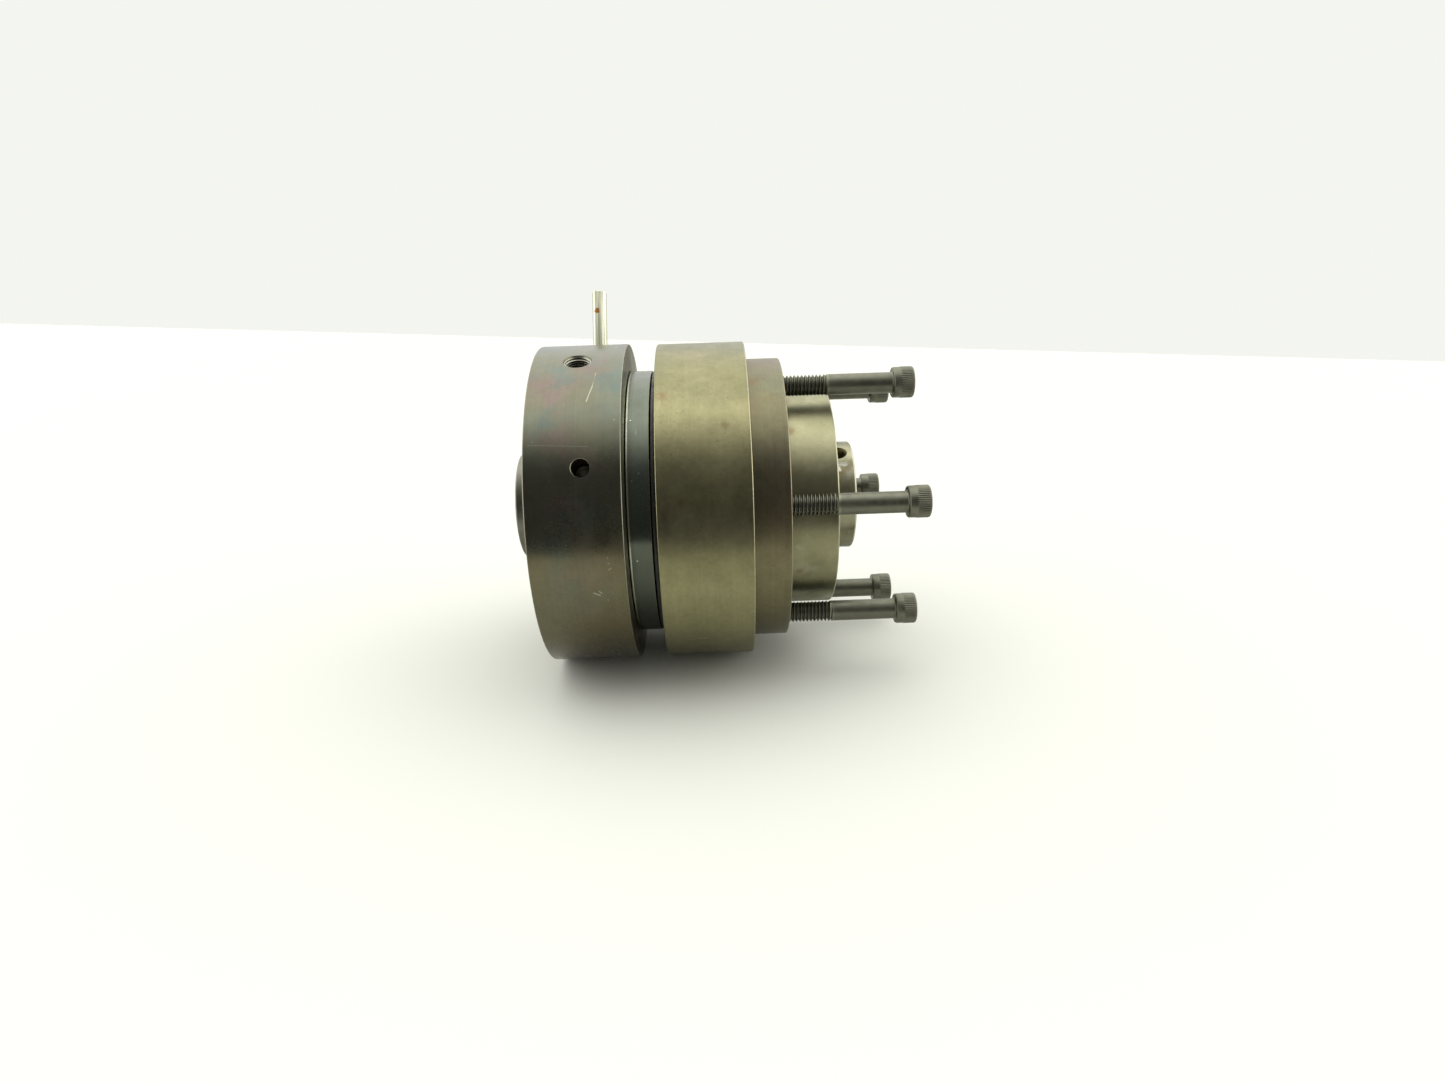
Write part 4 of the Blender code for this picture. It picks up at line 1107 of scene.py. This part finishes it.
def make_bearings():
    ground = steel("ground_steel", 30.0, [(0.62, 0.62, 0.60), (0.55, 0.55, 0.52)], 0.15,
                   bright=(0.8, 0.8, 0.78), mottle=0.06, specks=0.1, marks=0.3, scratches=0.3)
    bronze = steel("cage_bronze", 31.0, [(0.50, 0.34, 0.15), (0.42, 0.27, 0.11)], 0.3,
                   bright=(0.75, 0.55, 0.28), mottle=0.15, specks=0.3, marks=0.3)
    for end in ("front", "rear"):
        make_race(f"{end}_inner_race", True, ground)
        make_race(f"{end}_outer_race", False, ground)
        make_cage(f"{end}_balls_and_cage", ground, bronze)
    show_turned("bearing_spacer", hoop(*sizes("bearing_spacer")), ground,
                [bore_bit(passage, port_out, 1.45, 28, 38, 32)], sides=INNER)
    for k in range(2):
        node = f"dowel_pin_{k + 1}"
        front, rear = span(node)
        radius, length = 2.98 * MM, rear - front
        outline = rounded([(0, 0), (0, radius, 0.5), (length, radius, 0.5), (length, 0)])
        show_turned(node, outline, ground, sides=64,
                    matrix=Matrix.Translation((front, *centre(node).yz)))


# ---------------------------------------------------------------- rings, seals, piston, springs

def make_snap_rings():
    black = steel("spring_oxide", 33.0, [(0.07, 0.07, 0.06), (0.05, 0.05, 0.045)], 0.36,
                  bright=(0.3, 0.29, 0.22), mottle=0.2, specks=0.3, marks=0.3)
    for node, opening in (("bearing_snap_ring", 50), ("rear_retaining_ring", 230),
                          ("piston_snap_ring", 140)):
        front, rear, bore, radius = sizes(node)
        gap = slot_cutters([math.radians(opening)], front - 1 * MM, rear + 1 * MM,
                           bore - 2 * MM, radius + 2 * MM, 2.4 * MM)
        show_turned(node, hoop(front, rear, bore, radius, 0.12, 0.12, 3), black, gap,
                    sides=INNER)


def make_seals():
    nitrile = rubber("seal_rubber", 34.0)
    for node in ("body_seal", "pilot_seal", "draw_tube_seal", "piston_seal"):
        front, rear, bore, radius = sizes(node)
        middle, level = (front + rear) / 2, (bore + radius) / 2
        half_x, half_r = (rear - front) / 2, (radius - bore) / 2
        outline = [(middle + half_x * math.cos(TAU * k / 20),
                    level + half_r * math.sin(TAU * k / 20)) for k in range(20)]
        show_turned(node, outline, nitrile, sides=INNER)
    for node in ("front_air_seal", "rear_air_seal"):
        front, rear, bore, radius = sizes(node)
        outline = rounded([
            (front, bore + 0.9 * MM, 0.1), (front, radius, 0.3), (rear, radius, 0.3),
            (rear, bore + 1.1 * MM, 0.3), (rear - 0.9 * MM, bore + 0.7 * MM, 0.2),
            (rear - 1.2 * MM, bore, 0.15), (front + 0.3 * MM, bore + 0.6 * MM, 0.1),
        ], 4)
        show_turned(node, outline, nitrile, sides=INNER)


def make_piston():
    front, rear, bore, rim = sizes("piston")
    seal_front, seal_rear = groove_for("piston_seal")
    groove = radii("piston_seal")[0] - GAP
    recess = radii("piston_snap_ring")[1] + 0.4 * MM
    floor = span("piston_snap_ring")[1] + 0.4 * MM
    outline = rounded([
        (rear, bore, 0.3), (rear, rim, 0.6), (seal_rear, rim, 0.1), (seal_rear, groove, 0.2),
        (seal_front, groove, 0.2), (seal_front, rim, 0.1), (front, rim, 0.6),
        (front, recess, 0.3), (floor, recess), (floor, bore),
    ])
    look = steel("piston_bronze", 35.0, [(0.52, 0.37, 0.17), (0.45, 0.31, 0.13),
                                         (0.56, 0.42, 0.22)],
                 0.3, worn_and_lit_rims=[(rear, rim, 0.5)], bright=(0.78, 0.62, 0.36), mottle=0.15,
                 specks=0.3, marks=0.7)
    show_turned("piston", outline, look, sides=INNER)


def make_springs():
    wire_look = steel("spring_steel", 36.0, [(0.34, 0.34, 0.32), (0.26, 0.26, 0.24)], 0.25,
                      bright=(0.6, 0.6, 0.56), mottle=0.15, specks=0.2, marks=0.2)
    coil, wire, turns, around = 3.35 * MM, 0.5 * MM, 6.5, 12
    steps = int(turns * 28)
    for k in range(3):
        node = f"return_spring_{k + 1}"
        front, rear = span(node)
        middle = centre(node)
        start, run = front + wire, rear - front - 2 * wire
        rows = []
        for step in range(steps + 1):
            share = step / steps
            a = TAU * turns * share
            # the first and last turns lie flat, and the wire closes to a point at each end
            lift = min(max((share * turns - 0.9) / (turns - 1.8), 0.0), 1.0)
            out = Vector((0.0, math.cos(a), math.sin(a)))
            hub = Vector((start + run * lift, middle.y, middle.z)) + out * coil
            thin = 0.0 if step in (0, steps) else 1.0
            rows.append([tuple(hub + (out * math.cos(b) + Vector(REARWARD) * math.sin(b))
                               * wire * thin) for b in (TAU * j / around for j in range(around))])
        piece = show(node, shade_by_angle(grid_mesh(node, rows), 50), wire_look)
        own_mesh(piece)


def make_small_screws():
    plans = [  # name, how many, side of the head, then shank, head height, pitch, socket in mm
        ("body_screw", 3, 1, 2.4, 4.8, 0.95, 2.2), ("pilot_screw", 3, 1, 2.05, 4.2, 0.8, 1.9),
        ("collar_screw", 3, -1, 2.05, 4.1, 0.8, 1.8), ("cover_screw", 4, -1, 1.42, 1.2, 0.6, 1.15),
    ]
    for name, count, side, *measures in plans:
        shank, height, pitch, socket = (measure * MM for measure in measures)
        for k in range(count):
            node = f"{name}_{k + 1}"
            low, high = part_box(node)
            head = (high[1] - low[1]) / 2
            length = high[0] - low[0] - height
            threaded = length * 0.8
            mesh = cap_screw(node, length, shank, head, height, pitch, threaded, socket,
                             0.5 * height, 24, 36, 0.08 * MM)
            look = oxide(f"{name}_oxide_{k + 1}", 40.0 + 5 * side + k + count * 3, shank, length,
                         head, height, threaded)
            tip, turn = (low[0], 0.0) if side > 0 else (high[0], math.pi)
            place = Matrix.Translation((tip, *centre(node).yz)) @ Matrix.Rotation(turn, 4, "Z")
            show(node, mesh, look, matrix=place @ Matrix.Rotation(1.1 * k + 0.4, 4, "X"))


make_air_ring()
make_cover()
make_collar()
make_wiper()
make_body()
make_plate()
make_pilot()
make_draw_tube()
make_rod()
make_nose()
make_collet()
make_bearings()
make_snap_rings()
make_seals()
make_piston()
make_springs()
make_mounting_screws()
make_small_screws()


# ---------------------------------------------------------------- floor, light and camera

def make_floor():
    # its back edge runs a little askew, as the wall's foot does behind the real one
    reach, front, back, slant = 1.9, -0.238, 1.13, 0.52
    low = cad_box[0][2]
    mesh = bpy.data.meshes.new("floor")
    mesh.from_pydata([(-reach, front, low), (reach, front, low),
                      (reach, back - slant * reach, low), (-reach, back + slant * reach, low)],
                     [], [(0, 1, 2, 3)])
    floor = new_object("floor", mesh)
    material = bpy.data.materials.new("floor_paper")
    material.use_nodes = True
    shader = material.node_tree.nodes["Principled BSDF"]
    shader.inputs["Base Color"].default_value = (0.636, 0.641, 0.596, 1.0)
    shader.inputs["Roughness"].default_value = 0.9
    shader.inputs["Specular IOR Level"].default_value = 0.1
    mesh.materials.append(material)


def make_light():
    """A pale room: a broad soft light overhead and behind, and a darker front."""
    world = bpy.data.worlds.new("studio")
    bpy.context.scene.world = world
    world.use_nodes = True
    world.node_tree.nodes.clear()
    f = Nodes(world.node_tree)
    across, behind, up = f.add("SeparateXYZ", Vector=f.add("TexCoord").outputs["Generated"]).outputs
    turn = f.math("ARCTAN2", up, f.times(behind, -1.0))
    share = f.add("MapRange", Value=turn, From_Min=0.0, From_Max=math.pi)
    ramp = f.add("ValToRGB", Fac=share.outputs[0])
    stops = [(0, 0.045), (35, 0.054), (46, 0.080), (56, 0.245), (67, 0.52), (78, 0.87), (90, 1.0),
             (118, 1.0), (136, 0.9), (152, 0.7), (168, 0.46), (180, 0.4)]
    elements = ramp.color_ramp.elements
    for index, (degrees, level) in enumerate(stops):
        place = degrees / 180
        stop = elements[index] if index < 2 else elements.new(place)
        stop.position = place
        stop.color = (level * 0.995, level, level * 0.96, 1.0)
    ends = f.step(f.math("ABSOLUTE", across), 0.5, 0.9)
    light = f.add("Background", Strength=2.4,
                  Color=f.mix(ends, ramp.outputs[0], (0.92, 0.92, 0.89)))
    backdrop = f.add("Background", Color=(0.905, 0.915, 0.87))
    seen = f.add("LightPath").outputs["Is Camera Ray"]
    choose = f.add("MixShader")
    for source, target in zip((seen, light.outputs[0], backdrop.outputs[0]), choose.inputs):
        f.link(source, target)
    f.add("OutputWorld", Surface=choose.outputs[0])


def make_camera():
    camera = bpy.data.cameras.new("camera")
    camera.sensor_width = 36.0
    camera.sensor_fit = "HORIZONTAL"
    camera.lens = 22.52
    camera.clip_start = 0.01
    camera.clip_end = 50.0
    item = new_object("camera", camera)
    right = Vector((0.99932, -0.02148, -0.02986))
    up = Vector((0.03520, 0.32307, 0.94572))
    turn = Matrix((right, up, right.cross(up))).transposed()
    item.matrix_world = Matrix.Translation((-28.75 * MM, -362.03 * MM, 104.65 * MM)) @ turn.to_4x4()
    bpy.context.scene.camera = item


make_floor()
make_light()
make_camera()
bpy.context.scene.view_settings.view_transform = "Standard"
